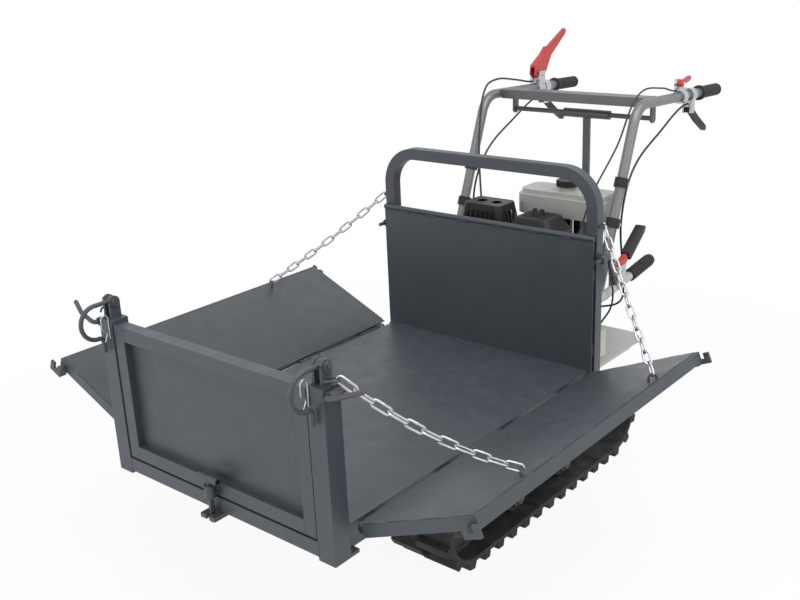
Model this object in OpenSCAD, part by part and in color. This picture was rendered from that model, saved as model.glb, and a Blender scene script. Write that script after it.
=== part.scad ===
// Tracked power carrier: a walk-behind carrier with a tipping bed on two rubber tracks.
// Millimetres. +Z is up, the ground is Z = 0, -Y is the loading end and +Y the operator's end.
// Lengths along Y are counted from the front plane of the gate.

/* [Bed] */
// Width over the two front posts
bed_w = 680; // [640:2:720]
// Length from the gate's front plane to the headboard
bed_len = 964; // [940:2:990]
// Height of the floor's top above the ground
floor_h = 374; // [370:1:390]
// Thickness of the sheet metal
sheet_t = 3; // [2:0.5:4]
// Depth of the beams under the floor
beam_h = 50; // [44:1:56]
// Width of the beams under the floor
beam_w = 40; // [34:1:46]
// Side of a square front post
post_s = 44; // [40:1:50]
// Height of the front posts above the floor
post_h = 308; // [296:1:330]
// Wall of the post tube
post_wall = 4; // [3:0.5:5]
// Height of the headboard above the floor
head_h = 357; // [330:1:380]
// Side of the square hoop tube
hoop_s = 30; // [26:1:34]
// Height of the hoop's centre line above the floor
hoop_top = 506; // [480:1:540]
// Bend radius of the hoop's centre line
hoop_r = 90; // [60:5:120]

/* [Gate] */
// Clearance between the gate and its posts
gate_gap = 4; // [3:0.5:6]
// Width of the gate's frame rails
gate_rail = 32; // [26:1:40]
// Depth of the gate's frame
gate_d = 30; // [26:1:34]
// Height of the gate's upper edge above the floor
gate_top = 300; // [280:1:304]
// Diameter of the gate's hinge stubs
stub_d = 16; // [12:1:18]
// Diameter of the turning latch pin
latch_d = 12; // [10:1:14]

/* [Side boards] */
// Width of a side board from its hinge axis
board_u = 312; // [290:2:330]
// Thickness of a side board
board_t = 26; // [22:1:30]
// Width of a side board's rails
board_rail = 28; // [22:1:34]
// Angle of the boards above the horizontal, as the chains hold them
flare = 23.4; // [15:0.2:30]
// Clearance between a board's ends and its neighbours
board_gap = 14; // [12:1:18]
// Diameter of the long hinge rods
rod_d = 10; // [8:1:12]
// Number of hinge knuckle pairs on a side
knuckles = 4; // [3:1:5]
// Wire of the chain links
link_d = 5; // [4:0.5:6]
// Half width of a chain link, to the middle of its wire
link_w = 7.5; // [7:0.5:9]

/* [Levers] */
// Diameter of the bent rod levers
lever_d = 10; // [8:1:11]
// Radius of the C lever's bend
c_r = 38; // [32:1:42]
// Height of the C lever's pivot above the post
c_rise = 38; // [32:1:44]
// Height of the lock levers above the floor
lock_z = 296; // [284:1:302]

/* [Tracks] */
// Width of a rubber track
track_w = 180; // [170:2:190]
// Distance from the middle of the machine to the middle of a track
track_x = 188; // [186:1:196]
// Radius at the tips of the tread lugs round the end wheels
track_r = 118; // [114:1:124]
// Height of the tread lugs
lug_h = 18; // [14:1:20]
// Thickness of the track's band
band_t = 12; // [10:1:14]
// Distance between two tread lugs
lug_pitch = 59; // [54:1:66]
// Distance of the front idler's axle behind the gate
idler_y = 536; // [520:2:550]
// Distance of the sprocket's axle behind the gate
sprocket_y = 1225; // [1205:2:1245]
// Teeth on the sprocket
teeth = 9; // [8:1:10]
// Radius of the road rollers
roller_r = 38; // [34:1:42]

/* [Chassis] */
// Distance of the tip pivot behind the gate
pivot_y = 360; // [350:2:370]
// Distance of the tip pivot below the bed's beams
pivot_drop = 25; // [24:1:30]
// Diameter of the tip pivot's shaft
pivot_d = 25; // [20:1:28]
// Height of the engine deck's top above the ground
deck_h = 332; // [330:1:340]
// Half width of the engine deck
deck_x = 288; // [280:2:294]

/* [Handles] */
// Distance from the middle to a handle tube
handle_x = 248; // [244:1:254]
// Diameter of a handle tube
handle_d = 28; // [25:1:30]
// Distance of a handle's foot behind the gate
foot_y = 1080; // [1070:2:1090]
// Distance of a handle's bend behind the gate
bend_y = 1344; // [1330:2:1356]
// Height of a handle's bend above the floor
bend_z = 618; // [600:2:640]
// Length of a handle tube behind its bend
reach = 508; // [490:2:530]
// Fall of the handles towards the grips, in degrees
droop = 2.4; // [0:0.2:5]
// Length of a grip
grip_l = 125; // [110:1:130]
// Outer diameter of a grip
grip_d = 36; // [34:1:40]

/* [Hidden] */
$fn = 32;
gap = 0.3;
fit = 0.06;
// Bends are this much fuller than the straight bar, which runs on into them
bend_swell = 0.1;
// Flats run this far inside the rounds that they join
seam = 0.05;
bed_x = bed_w/2;
bed_bottom = floor_h - sheet_t - beam_h;
pivot_z = bed_bottom - pivot_drop;
lever_out = 22;
front_reach = lever_out + c_r + lever_d/2;
rear_reach = bend_y + reach*cos(droop) + grip_d/2*sin(droop);
y_mid = (rear_reach - front_reach)/2;
hinge_x = bed_x + 6;
hinge_z = -10;
knuckle_d = rod_d + 10;
board_in = 16;
board_y0 = post_s + board_gap;
board_l = bed_len - board_gap - board_y0;
gate_w = bed_w - 2*post_s - 2*gate_gap;
gate_y = 2;
gate_low = -17;
gate_axis_y = gate_y + gate_d/2;
gate_axis_z = gate_top - gate_rail/2;
post_mid = bed_x - post_s/2;
lock_x = bed_x + 10;
lock_u = lock_z - hinge_z;
bush_d = lever_d + 9;
band_r = track_r - lug_h;
inner_r = band_r - band_t;
run_l = sprocket_y - idler_y;
loop_l = 2*run_l + 2*PI*band_r;
lugs = round(loop_l/lug_pitch);
roller_z = lug_h + band_t + roller_r + gap;
roller_y = [for (i = [1:2]) idler_y + i*run_l/3];
rail_x = 86;
rail_w = 36;
rail_z = 180;
rail_h = 60;
lean_a = atan2(bend_z - (deck_h - floor_h), bend_y - foot_y);
belt_x = -152;
crank_y = sprocket_y - 25;
hoop_y = bed_len + sheet_t + 8 + hoop_s/2;
deck_y0 = hoop_y + hoop_s/2 + 7;
deck_y1 = sprocket_y + 147;
bracket_y = [idler_y + 160, sprocket_y - 200];
crank_z = deck_h + 150;
input_z = deck_h - 24;
pulley_a = 38;
pulley_b = 52;

slate = [0.27, 0.30, 0.33];
silver = [0.72, 0.71, 0.69];
rubber = [0.07, 0.07, 0.08];
black = [0.10, 0.10, 0.11];
red = [0.78, 0.16, 0.17];
zinc = [0.80, 0.81, 0.83];
tube_grey = [0.48, 0.49, 0.50];

// Frames of the bed and of the chassis, and the mirrored half
module in_bed() { translate([0, -y_mid, floor_h]) children(); }
module in_chassis() { translate([0, -y_mid, 0]) children(); }
module side(s) { mirror([s < 0 ? 1 : 0, 0, 0]) children(); }
module along_x(x) { translate([x, 0, 0]) rotate([90, 0, 90]) children(); }
module rod_x(d, x0, x1) { translate([x0, 0, 0]) rotate([0, 90, 0]) cylinder(d = d, h = x1 - x0); }
module rod_y(d, y0, y1) { translate([0, y0, 0]) rotate([-90, 0, 0]) cylinder(d = d, h = y1 - y0); }

// Bars and tubes bent in one plane: p holds the corners and r the bend radius
function heading(a, b) = atan2(b[1] - a[1], b[0] - a[0]);
function wrap(a) = a > 180 ? a - 360 : a < -180 ? a + 360 : a;
function turn(p, i) = wrap(heading(p[i], p[i + 1]) - heading(p[i - 1], p[i]));
function trim(p, i, r) = i == 0 || i == len(p) - 1 ? 0 : r*tan(abs(turn(p, i))/2);
module profile(d, square_bar) { if (square_bar) square(d, center = true); else circle(d = d); }
module bent(p, r, d, square_bar = false) {
  for (i = [0:len(p) - 2]) {
    c = trim(p, i, r) - (i == 0 ? 0 : sqrt(r*bend_swell));
    l = norm(p[i + 1] - p[i]) - c - trim(p, i + 1, r) + (i == len(p) - 2 ? 0 : sqrt(r*bend_swell));
    translate([p[i][0], p[i][1], 0]) rotate([0, 0, heading(p[i], p[i + 1])]) translate([c, 0, 0])
      rotate([90, 0, 90]) linear_extrude(l) profile(d, square_bar);
  }
  if (len(p) > 2) for (i = [1:len(p) - 2]) {
    t = turn(p, i);
    translate([p[i][0], p[i][1], 0]) rotate([0, 0, heading(p[i - 1], p[i])])
      translate([-trim(p, i, r), sign(t)*r, 0]) rotate([0, 0, t > 0 ? -90 : 90 + t])
      rotate_extrude(angle = abs(t)) translate([r, 0]) profile(d + 2*bend_swell, square_bar);
  }
}
// The same bend in the plane x = constant, with corners given as [y, z]
module bent_x(x, p, r, d) { along_x(x) bent(p, r, d); }
// A block with rounded upright edges
module soft_block(s, r) {
  linear_extrude(s[2]) {
    translate([r, 0]) square([s[0] - 2*r, s[1]]);
    translate([0, r]) square([s[0], s[1] - 2*r]);
    for (x = [r, s[0] - r], y = [r, s[1] - r]) translate([x, y]) circle(r = r);
  }
}
// Outline round two circles a distance l apart along y
module two_rounds(r0, r1, l) {
  a = asin((r0 - r1)/l);
  q0 = (r0 - seam)*[cos(a), sin(a)];
  q1 = (r1 - seam)*[cos(a), sin(a)] + [0, l];
  circle(r = r0);
  translate([0, l]) circle(r = r1);
  polygon([[-q0[0], q0[1]], q0, q1, [-q1[0], q1[1]]]);
}

// Smooth cables through a few points
function unit(v) = norm(v) > 0 ? v/norm(v) : [0, 0, 0];
function tangent(p, i) = unit(unit(p[min(i + 1, len(p) - 1)] - p[i]) + unit(p[i] - p[max(i - 1, 0)]));
function spline(p, i, t) = let (l = norm(p[i + 1] - p[i])) (1 - t)*(1 - t)*((1 + 2*t)*p[i] + t*l*tangent(p, i))
  + t*t*((3 - 2*t)*p[i + 1] - (1 - t)*l*tangent(p, i + 1));
function smooth(p, k) = concat([for (i = [0:len(p) - 2], j = [0:k - 1]) spline(p, i, j/k)], [p[len(p) - 1]]);
module cable(p, d, k = 3) {
  q = smooth(p, k);
  n = len(q);
  s = 8;
  rings = [for (i = [0:n - 1]) let (t = q[min(i + 1, n - 1)] - q[max(i - 1, 0)], z = t/norm(t),
    x0 = cross(z, [0.9, 0.3, 0.1]), x = x0/norm(x0), y = cross(z, x))
    for (j = [0:s - 1]) q[i] + d/2*(cos(360*j/s)*x + sin(360*j/s)*y)];
  polyhedron(rings, concat([[for (j = [0:s - 1]) j]], [[for (j = [0:s - 1]) n*s - 1 - j]],
    [for (i = [0:n - 2], j = [0:s - 1]) [i*s + j, (i + 1)*s + j, (i + 1)*s + (j + 1)%s]],
    [for (i = [0:n - 2], j = [0:s - 1]) [i*s + j, (i + 1)*s + (j + 1)%s, i*s + (j + 1)%s]]));
}

// Tracks and wheels
module loop_outline(r) {
  for (y = [idler_y, sprocket_y]) translate([y, track_r]) circle(r = r);
  translate([idler_y, track_r - r]) square([run_l, 2*r]);
}
function loop_at(s) = let (q = PI*band_r)
  s < run_l ? [idler_y + s, track_r - band_r, -90] :
  s < run_l + q ? let (a = -90 + (s - run_l)/q*180) [sprocket_y + band_r*cos(a), track_r + band_r*sin(a), a] :
  s < 2*run_l + q ? [sprocket_y - (s - run_l - q), track_r + band_r, 90] :
  let (a = 90 + (s - 2*run_l - q)/q*180) [idler_y + band_r*cos(a), track_r + band_r*sin(a), a];
module lug_row(shift, h0, h1, w0, w1) {
  for (i = [0:lugs - 1]) {
    p = loop_at(((i + shift) % lugs)*loop_l/lugs);
    translate([p[0], p[1]]) rotate(p[2]) polygon([[h0, -w0/2], [h1, -w1/2], [h1, w1/2], [h0, w0/2]]);
  }
}
module track() color(rubber) along_x(track_x) {
  translate([0, 0, -track_w/2]) linear_extrude(track_w) difference() { loop_outline(band_r); loop_outline(inner_r); }
  for (h = [0, 1]) translate([0, 0, h == 0 ? -track_w/2 : -4]) linear_extrude(track_w/2 + 4)
    intersection() { lug_row(h/2 + 0.25, -2, lug_h + 4, 30, 20); loop_outline(track_r); }
  for (x = [-27, 15]) translate([0, 0, x]) linear_extrude(12)
    lug_row(0.25, -band_t - 14, -band_t + 2, 14, 24);
}
module sprocket() color(tube_grey) translate([0, sprocket_y, track_r]) {
  along_x(track_x) translate([0, 0, -11]) linear_extrude(22) difference() {
    union() {
      circle(r = inner_r - 16, $fn = 64);
      for (i = [0:teeth - 1]) rotate(360*i/teeth)
        polygon([[inner_r - 22, -14], [inner_r - 1.5, -6], [inner_r - 1.5, 6], [inner_r - 22, 14]]);
    }
    for (i = [0:4]) rotate(72*i) translate([42, 0]) circle(d = 22);
  }
  rod_x(56, track_x - 24, track_x + 24);
  rod_x(28, track_x - 118, track_x - 20);
  rod_x(36, track_x + 23, track_x + 30);
}
module idler() color(tube_grey) translate([0, idler_y, track_r]) difference() {
  union() {
    for (s = [-1, 1]) rod_x(2*(inner_r - 0.5), track_x + (s < 0 ? -48 : 30), track_x + (s < 0 ? -30 : 48));
    rod_x(90, track_x - 32, track_x + 32);
  }
  rod_x(20 + 2*fit, track_x - 60, track_x + 60);
  for (s = [-1, 1]) translate([track_x + s*48, 0, 0]) rotate([0, 90, 0]) rotate_extrude()
    translate([50, -6]) square([24, 12]);
}
module roller(i) color(tube_grey) translate([0, roller_y[i], roller_z]) difference() {
  union() {
    for (s = [-1, 1]) rod_x(2*roller_r, track_x + (s < 0 ? -46 : 30), track_x + (s < 0 ? -30 : 46));
    rod_x(2*roller_r - 32, track_x - 32, track_x + 32);
  }
  rod_x(20 + 2*fit, track_x - 60, track_x + 60);
}
// The beam runs through the loop between two cheeks, which hold the wheels' pins
module beam() color(silver) difference() {
  union() {
    for (s = [-1, 1]) translate([track_x + (s < 0 ? -60 : 52), 0, 0]) {
      translate([0, idler_y - 24, track_r - 24]) cube([8, run_l - 110, 48]);
      for (y = roller_y) translate([0, y - 20, roller_z - 18]) cube([8, 40, track_r - roller_z]);
    }
    translate([track_x - 53, idler_y + 100, roller_z + roller_r + 4]) cube([106, run_l - 240, 32]);
    for (p = concat([[idler_y, track_r]], [for (y = roller_y) [y, roller_z]])) translate([0, p[0], p[1]]) {
      rod_x(20, track_x - 66, track_x + 66);
      for (s = [-1, 1]) translate([track_x + (s < 0 ? -67 : 59), 0, 0]) rotate([0, 90, 0]) cylinder(d = 30, h = 8, $fn = 6);
      for (s = [-1, 1]) rod_x(28, track_x + (s < 0 ? -53 : 48 + gap), track_x + (s < 0 ? -48 - gap : 53));
    }
  }
}

// Chassis
module main_frame() color(silver) in_chassis() difference() {
  union() {
    for (s = [-1, 1]) side(s) {
      translate([rail_x - rail_w, pivot_y - 30, rail_z]) cube([rail_w, deck_y1 - 2 - pivot_y + 30, rail_h]);
      translate([rail_x - 12, pivot_y - 24, rail_z + 20]) cube([12, 48, pivot_z - rail_z - 20]);
      translate([0, pivot_y, pivot_z]) rod_x(48, rail_x - 12, rail_x);
      translate([rail_x - rail_w, bed_len - 40, rail_z + rail_h - 1]) cube([rail_w, 60, bed_bottom - gap - rail_z - rail_h + 1]);
      for (y = bracket_y) translate([rail_x - 6, y - 25, track_r - 20])
        cube([track_x - 60 - rail_x + 6, 50, 40]);
      for (y = bracket_y) translate([rail_x - rail_w, y - 25, track_r - 20])
        cube([rail_w, 50, rail_z - track_r + 21]);
      translate([rail_x - rail_w, deck_y0 + 48, rail_z + rail_h - 1]) cube([rail_w, 40, deck_h - 6 - rail_z - rail_h + 2]);
      translate([rail_x - rail_w, deck_y1 - 62, rail_z + rail_h - 1]) cube([rail_w, 40, deck_h - 6 - rail_z - rail_h + 2]);
      translate([handle_x, foot_y, deck_h]) rotate([lean_a - 90, 0, 0]) translate([0, 0, -2]) difference() {
        cylinder(d = handle_d + 14, h = 46);
        translate([0, 0, 16]) cylinder(d = handle_d + 2*fit, h = 60);
      }
    }
    for (y = [pivot_y + 120, bracket_y[0] + 4, bracket_y[1] - 25, deck_y1 - 42]) translate([-rail_x, y, rail_z + 8]) cube([2*rail_x, 34, rail_h - 16]);
    difference() {
      translate([-deck_x, deck_y0, deck_h - 6]) soft_block([2*deck_x, deck_y1 - deck_y0, 6], 60);
      translate([belt_x - 36, crank_y - pulley_b - 22, deck_h - 10]) cube([60, 2*pulley_b + 44, 20]);
    }
    for (s = [-1, 1]) side(s) translate([deck_x - 26, deck_y0 + 60, deck_h - 26]) cube([6, deck_y1 - deck_y0 - 120, 21]);
  }
  translate([0, pivot_y, pivot_z]) rod_x(pivot_d + 2*fit, -200, 200);
}
module tip_shaft() color(zinc) in_chassis() translate([0, pivot_y, pivot_z]) {
  rod_x(pivot_d, -rail_x - 6, rail_x + 6);
  for (s = [-1, 1]) side(s) rod_x(pivot_d + 10, rail_x, rail_x + 8);
}
module gearbox() color(tube_grey) in_chassis() difference() {
  union() {
    translate([-46, sprocket_y - 80, 70]) soft_block([92, 160, 110 - gap], 20);
    translate([-46, sprocket_y - 62, 170]) soft_block([92, 124, 100], 18);
    for (i = [0:3]) translate([-48, sprocket_y - 60 + 36*i, 80]) cube([96, 6, 90]);
    translate([0, sprocket_y, track_r]) {
      rod_x(64, -94, 94);
      for (s = [-1, 1]) side(s) rod_x(84, 40, 58);
    }
    translate([0, crank_y, input_z]) rod_x(34, belt_x + 34, -20);
    translate([-30, crank_y - 30, 250]) cube([60, 60, input_z - 250]);
    for (s = [-1, 1], y = [-78, 18]) side(s) translate([44, sprocket_y + y, rail_z - 14]) cube([36, 60, 14 - gap]);
    translate([20, sprocket_y + 60, 214]) rotate([-90, 0, 0]) cylinder(d = 24, h = 40);
  }
  translate([0, sprocket_y, track_r]) for (s = [-1, 1]) side(s) rod_x(28 + 2*fit, 60, 120);
  translate([0, crank_y, input_z]) rod_x(20 + 2*fit, belt_x, -80);
}

// Engine
module engine_block() color([0.20, 0.20, 0.21]) in_chassis() difference() {
  union() {
    translate([-118, crank_y - 85, deck_h]) soft_block([236, 170, 24], 14);
    translate([-100, crank_y - 75, deck_h + 20]) soft_block([200, 150, 190], 26);
    translate([0, crank_y, crank_z]) { rod_x(110, -112, -90); rod_x(40, -126, -110); }
    // fins of the cylinder, leaning to the front
    translate([-20, crank_y - 50, crank_z + 10]) rotate([20, 0, 0]) {
      translate([-50, -50, -40]) cube([100, 100, 120]);
      for (i = [0:4]) translate([-72, -66, 4 + 15*i]) soft_block([144, 132, 5], 12);
      translate([-62, -58, 78]) soft_block([124, 116, 26], 14);
    }
    // carburettor and exhaust elbow
    translate([40, crank_y - 95, crank_z + 60]) cube([56, 50, 40]);
    translate([-128, crank_y - 89, crank_z + 60]) cube([50, 50, 40]);
    // fan housing and starter cover
    translate([0, crank_y, crank_z]) {
      rod_x(250, 98, 160);
      translate([160, 0, 0]) rotate([0, 90, 0]) rotate_extrude($fn = 48)
        polygon([[0, -1], [112, -1], [108, 12], [70, 26], [0, 26]]);
    }
    // tank legs
    for (x = [-40, 88], y = [36, 90]) translate([x, crank_y + y, crank_z + 30]) cube([22, 14, tank_z - crank_z - 30]);
    translate([-44, crank_y + 32, crank_z + 20]) cube([160, 76, 20]);
  }
  translate([0, crank_y, crank_z]) {
    rod_x(25 + 2*fit, -140, -60);
    for (i = [0:15]) rotate([360/16*i, 0, 0]) translate([150, 80, -5]) cube([60, 18, 10]);
  }
}
tank_z = deck_h + 358;
module fuel_tank() color([0.86, 0.85, 0.82]) in_chassis() {
  translate([-58, crank_y + 12, tank_z]) soft_block([280, 116, 54], 30);
  translate([-50, crank_y + 20, tank_z + 54]) soft_block([264, 100, 14], 26);
  translate([80, crank_y + 70, tank_z + 66]) cylinder(d = 46, h = 12);
}
module fuel_cap() color(black) in_chassis() translate([80, crank_y + 70, tank_z + 78 + gap]) {
  cylinder(d = 58, h = 18);
  for (i = [0:11]) rotate(30*i) translate([29, 0, 0]) cylinder(d = 6, h = 18, $fn = 16);
}
module air_filter() color(black) in_chassis() {
  translate([4, crank_y - 130, deck_h + 300]) soft_block([140, 118, 70], 22);
  translate([0, crank_y - 134, deck_h + 366]) soft_block([148, 126, 18], 24);
  translate([74, crank_y - 71, deck_h + 383]) { cylinder(d = 34, h = 14); for (a = [0, 90]) rotate(a) translate([-20, -4, 4]) cube([40, 8, 14]); }
  translate([70, crank_y - 71, crank_z + 100 + gap]) cylinder(d = 44, h = deck_h + 302 - crank_z - 100);
}
module muffler_guard() color(black) in_chassis() difference() {
  union() {
    translate([-172, crank_y - 122, deck_h + 296]) soft_block([158, 116, 104], 18);
    translate([-103, crank_y - 64, crank_z + 100 + gap]) cylinder(d = 34, h = deck_h + 300 - crank_z - 100);
    translate([-172, crank_y - 64, deck_h + 330]) rotate([0, -90, 0]) cylinder(d = 26, h = 16);
  }
  for (i = [0:8]) translate([-158 + 16*i, crank_y - 108, deck_h + 390]) cube([8, 88, 20]);
  for (i = [0:8]) translate([-158 + 16*i, crank_y - 130, deck_h + 320]) cube([8, 16, 62]);
}
module pulley(r, d) {
  difference() {
    rotate([0, 90, 0]) rotate_extrude($fn = 48)
      polygon([[d/2 + fit, -14], [r + 5, -14], [r + 5, -9], [r - 6, -4], [r - 6, 4], [r + 5, 9], [r + 5, 14], [d/2 + fit, 14]]);
    for (i = [0:4]) rotate([72*i, 0, 0]) translate([-20, 0, r*0.56]) rod_x(r*0.28, 0, 40);
  }
}
module engine_pulley() color(zinc) in_chassis() translate([belt_x, crank_y, crank_z]) {
  pulley(pulley_a, 25 - 8*fit);
  rod_x(25, -16, -belt_x - 70);
  rod_x(36, -24, -14);
}
module gearbox_pulley() color(zinc) in_chassis() translate([belt_x, crank_y, input_z]) {
  pulley(pulley_b, 20 - 8*fit);
  rod_x(20, -16, -belt_x - 90);
  rod_x(32, -24, -14);
}
module drive_belt() color(rubber) in_chassis() translate([belt_x - 3.4, crank_y, input_z]) along_x(0)
  linear_extrude(6.8) difference() {
    two_rounds(pulley_b + 4, pulley_a + 4, crank_z - input_z);
    two_rounds(pulley_b - 5.6, pulley_a - 5.6, crank_z - input_z);
  }
module belt_guard() color(slate) in_chassis() translate([belt_x - 32, crank_y, input_z]) difference() {
  union() {
    along_x(0) linear_extrude(50) two_rounds(pulley_b + 18, pulley_a + 18, crank_z - input_z);
    // feet on the deck
    for (y = [56, -96]) translate([0, y, deck_h - input_z + gap]) cube([44, 40, 4]);
  }
  along_x(3) linear_extrude(60) two_rounds(pulley_b + 15, pulley_a + 15, crank_z - input_z);
  translate([-10, -100, -100]) cube([80, 200, 60]);
  for (i = [0:4]) translate([-2, -24, 30 + 22*i]) cube([8, 48, 8]);
}

// Handles and their controls
// Frame on a handle tube, d behind its bend: y runs back along the tube
module on_handle(s, d) {
  translate([s*handle_x, bend_y, bend_z]) rotate([-droop, 0, 0]) translate([0, d, 0]) children();
}
handle_path = [[foot_y, deck_h - floor_h] + (14 + gap)*[cos(lean_a), sin(lean_a)], [bend_y, bend_z],
  [bend_y + reach*cos(droop), bend_z - reach*sin(droop)]];
handle_cut = [handle_path[0], handle_path[1], handle_path[2] - 4*[cos(droop), -sin(droop)]];
module handle() color(tube_grey) bent_x(handle_x, handle_cut, 70, handle_d);
module grip() color(black) on_handle(1, reach - grip_l) difference() {
  union() {
    rod_y(grip_d - 4, 0, grip_l);
    for (i = [0:8]) rod_y(grip_d, 8 + 12*i, 15 + 12*i);
    rod_y(grip_d + 8, 0, 6);
    rod_y(grip_d, grip_l - 8, grip_l);
  }
  rod_y(handle_d + 2*fit, -1, grip_l - 4 + gap);
}
module cross_plate() color([0.30, 0.31, 0.32]) in_bed() {
  // folded channel between the tubes
  translate([0, bend_y + 62, bend_z - 62*tan(droop)]) rotate([-droop, 0, 0]) difference() {
    translate([-handle_x + handle_d/2 + gap, 0, -13]) cube([2*(handle_x - handle_d/2 - gap), 66, 26]);
    translate([-handle_x, 3, -20]) cube([2*handle_x, 60, 30]);
  }
  // hangers and the shift rod
  on_rod() {
    for (s = [-1, 1]) side(s) translate([handle_x - handle_d/2 - 8, 0, 0]) {
      translate([0, -12, 0]) cube([6, 24, 44]);
      rotate([0, 90, 0]) cylinder(d = 26, h = 6);
      translate([0, -12, 34]) cube([8 - gap, 24, 12]);
    }
    rod_x(14, -handle_x + handle_d/2 + 4, handle_x - handle_d/2 - 4);
  }
}
rod_back = 131;
rod_drop = 50;
shift_l = bend_z + floor_h - deck_h - 20;
module on_rod() translate([0, bend_y + rod_back, bend_z - rod_back*tan(droop) - rod_drop]) children();
module gear_lever() color([0.30, 0.31, 0.32]) in_bed() on_rod() difference() {
  union() {
    rod_x(26, -55, 95);
    translate([9, -4, -shift_l]) cube([22, 8, shift_l - 4]);
    translate([20, 0, -shift_l]) rotate([90, 0, 0]) translate([0, 0, -4]) cylinder(d = 22, h = 8);
  }
  rod_x(14 + 2*fit, -80, 120);
  translate([20, 0, -shift_l]) rotate([90, 0, 0]) translate([0, 0, -10]) cylinder(d = 10, h = 20);
}
clutch_d = 285;
throttle_d = 262;
steer_d = 322;
// Clamp round a handle tube
module clamp(l) difference() {
  rod_y(handle_d + 12, -l/2, l/2);
  rod_y(handle_d + 2*fit, -l, l);
}
module control_mounts() color(black) in_bed() {
  on_handle(-1, clutch_d) { clamp(36);
    for (s = [-1, 1]) translate([s*14 - 3, -17, 12]) cube([6, 34, 40]);
    translate([0, 0, 40]) rod_x(8, -19, 19);
    translate([-10, -34, 15]) difference() { cube([20, 18, 11.5]); translate([10, -1, 6]) rod_y(6.6, 0, 12); }
  }
  on_handle(1, throttle_d) { clamp(26);
    translate([0, 0, 17]) translate([-12, -20, 0]) soft_block([24, 40, 8], 8);
    translate([0, -20, 20]) difference() { rod_y(10, -12, 1); rod_y(6.6, -13, -2); }
    translate([-16, 0, 38]) rod_x(24, 0, 8);
    translate([-16, -8, 18]) cube([8, 16, 14]);
    translate([0, 0, 38]) rod_x(8, -16, 10);
  }
  for (s = [-1, 1]) on_handle(s, steer_d) { clamp(28);
    for (t = [-1, 1]) translate([t*11 - 2.5, -12, -52]) cube([5, 24, 38]);
    translate([0, 0, -42]) rod_x(8, -15, 15);
    translate([0, -14, -26]) difference() { translate([-9, 0, -8]) cube([18, 4, 16]); rod_y(6.6, -2, 8); }
  }
}
module clutch_lever() color(red) in_bed() on_handle(-1, clutch_d) translate([0, 0, 40]) difference() {
  union() {
    rod_x(26, -10.4, 10.4);
    along_x(-10) linear_extrude(20) polygon([[-34, 2], [-14, -12], [10, -12], [34, 10], [66, 66], [44, 84], [20, 62], [-30, 30]]);
    along_x(-5) linear_extrude(10) polygon([[50, 62], [66, 54], [150, 118], [156, 130], [146, 136], [44, 80]]);
  }
  rod_x(8 + 2*fit, -30, 30);
  along_x(-7) linear_extrude(14) polygon([[-40, -2], [-20, -20], [10, -20], [20, 8], [20, 40], [-40, 20]]);
}
module throttle_lever() color(red) in_bed() on_handle(1, throttle_d) translate([0, 0, 38]) difference() {
  union() {
    rod_x(22, -7.6, 6);
    along_x(-4) linear_extrude(8) polygon([[4, 8], [10, -4], [52, 4], [58, 12], [50, 18]]);
  }
  rod_x(8 + 2*fit, -30, 30);
}
module steer_lever(s) color(black) in_bed() on_handle(s, steer_d) translate([0, 0, -42]) difference() {
  union() {
    rod_x(20, -8, 8);
    along_x(-7) linear_extrude(14) polygon([[-6, 8], [6, -9], [50, -40], [112, -74], [120, -70], [118, -60], [60, -26], [10, 8]]);
  }
  rod_x(8 + 2*fit, -30, 30);
}
module tube_clamps() color(black) in_bed() for (s = [-1, 1], d = [390, 500])
  translate([s*handle_x, foot_y + d*cos(lean_a), deck_h - floor_h + d*sin(lean_a)]) rotate([lean_a - 90, 0, 0]) difference() {
    union() { translate([0, 0, -13]) cylinder(d = handle_d + 10, h = 26); translate([-7, 12, -9]) cube([14, 16, 18]); }
    translate([0, 0, -20]) cylinder(d = handle_d + 2*fit, h = 40);
  }
// Cable routes, as [x, y, z] above the floor; they start in the ferrules on the handle tubes
function at_handle(s, d, up) = [s*handle_x, bend_y + d*cos(droop) + up*sin(droop), bend_z - d*sin(droop) + up*cos(droop)];
function at_engine(x, y, z) = [x, crank_y + y, crank_z - floor_h + z];
guard_top = crank_z - floor_h + pulley_a + 18;
clutch_route = concat([for (q = [[-31, 21], [-44, 21], [-130, 34]]) at_handle(-1, clutch_d + q[0], q[1])],
  [[-handle_x - 2, bend_y + 60, bend_z + 40], [-handle_x + 4, bend_y - 6, bend_z + 24], at_engine(-230, 82, 400),
  at_engine(-196, 40, 210), at_engine(-162, 2, 90), [belt_x - 8, crank_y, guard_top + 20], [belt_x - 8, crank_y, guard_top + gap]]);
function steer_route(s) = concat([for (q = [[-13, -26], [-27, -26], [-170, -84]]) at_handle(s, steer_d + q[0], q[1])],
  [[s*(handle_x - 2), bend_y - 14, bend_z - 178], [s*handle_x, bend_y - 72, bend_z - 300], [s*(handle_x - 12), deck_y1 - 60, 150],
  [s*(handle_x - 40), deck_y1 - 20, 50], [s*110, deck_y1 - 22, 10], [s*72, deck_y1 - 27, -18], [s*70, deck_y1 - 27, deck_h - floor_h + gap]]);
throttle_route = concat([for (q = [[-31, 20], [-44, 20], [-120, 34]]) at_handle(1, throttle_d + q[0], q[1])],
  [[handle_x - 4, bend_y + 10, bend_z + 26], at_engine(226, 78, 410), at_engine(206, -20, 290), at_engine(186, -50, 192),
  at_engine(162, -96, 134), at_engine(112, -120, 100), at_engine(74, -112, 82), at_engine(70, -95 - gap, 80)]);
module control_cables() color(black) in_bed() {
  cable(clutch_route, 6);
  for (s = [-1, 1]) cable(steer_route(s), 6);
  cable(throttle_route, 5);
}

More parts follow.
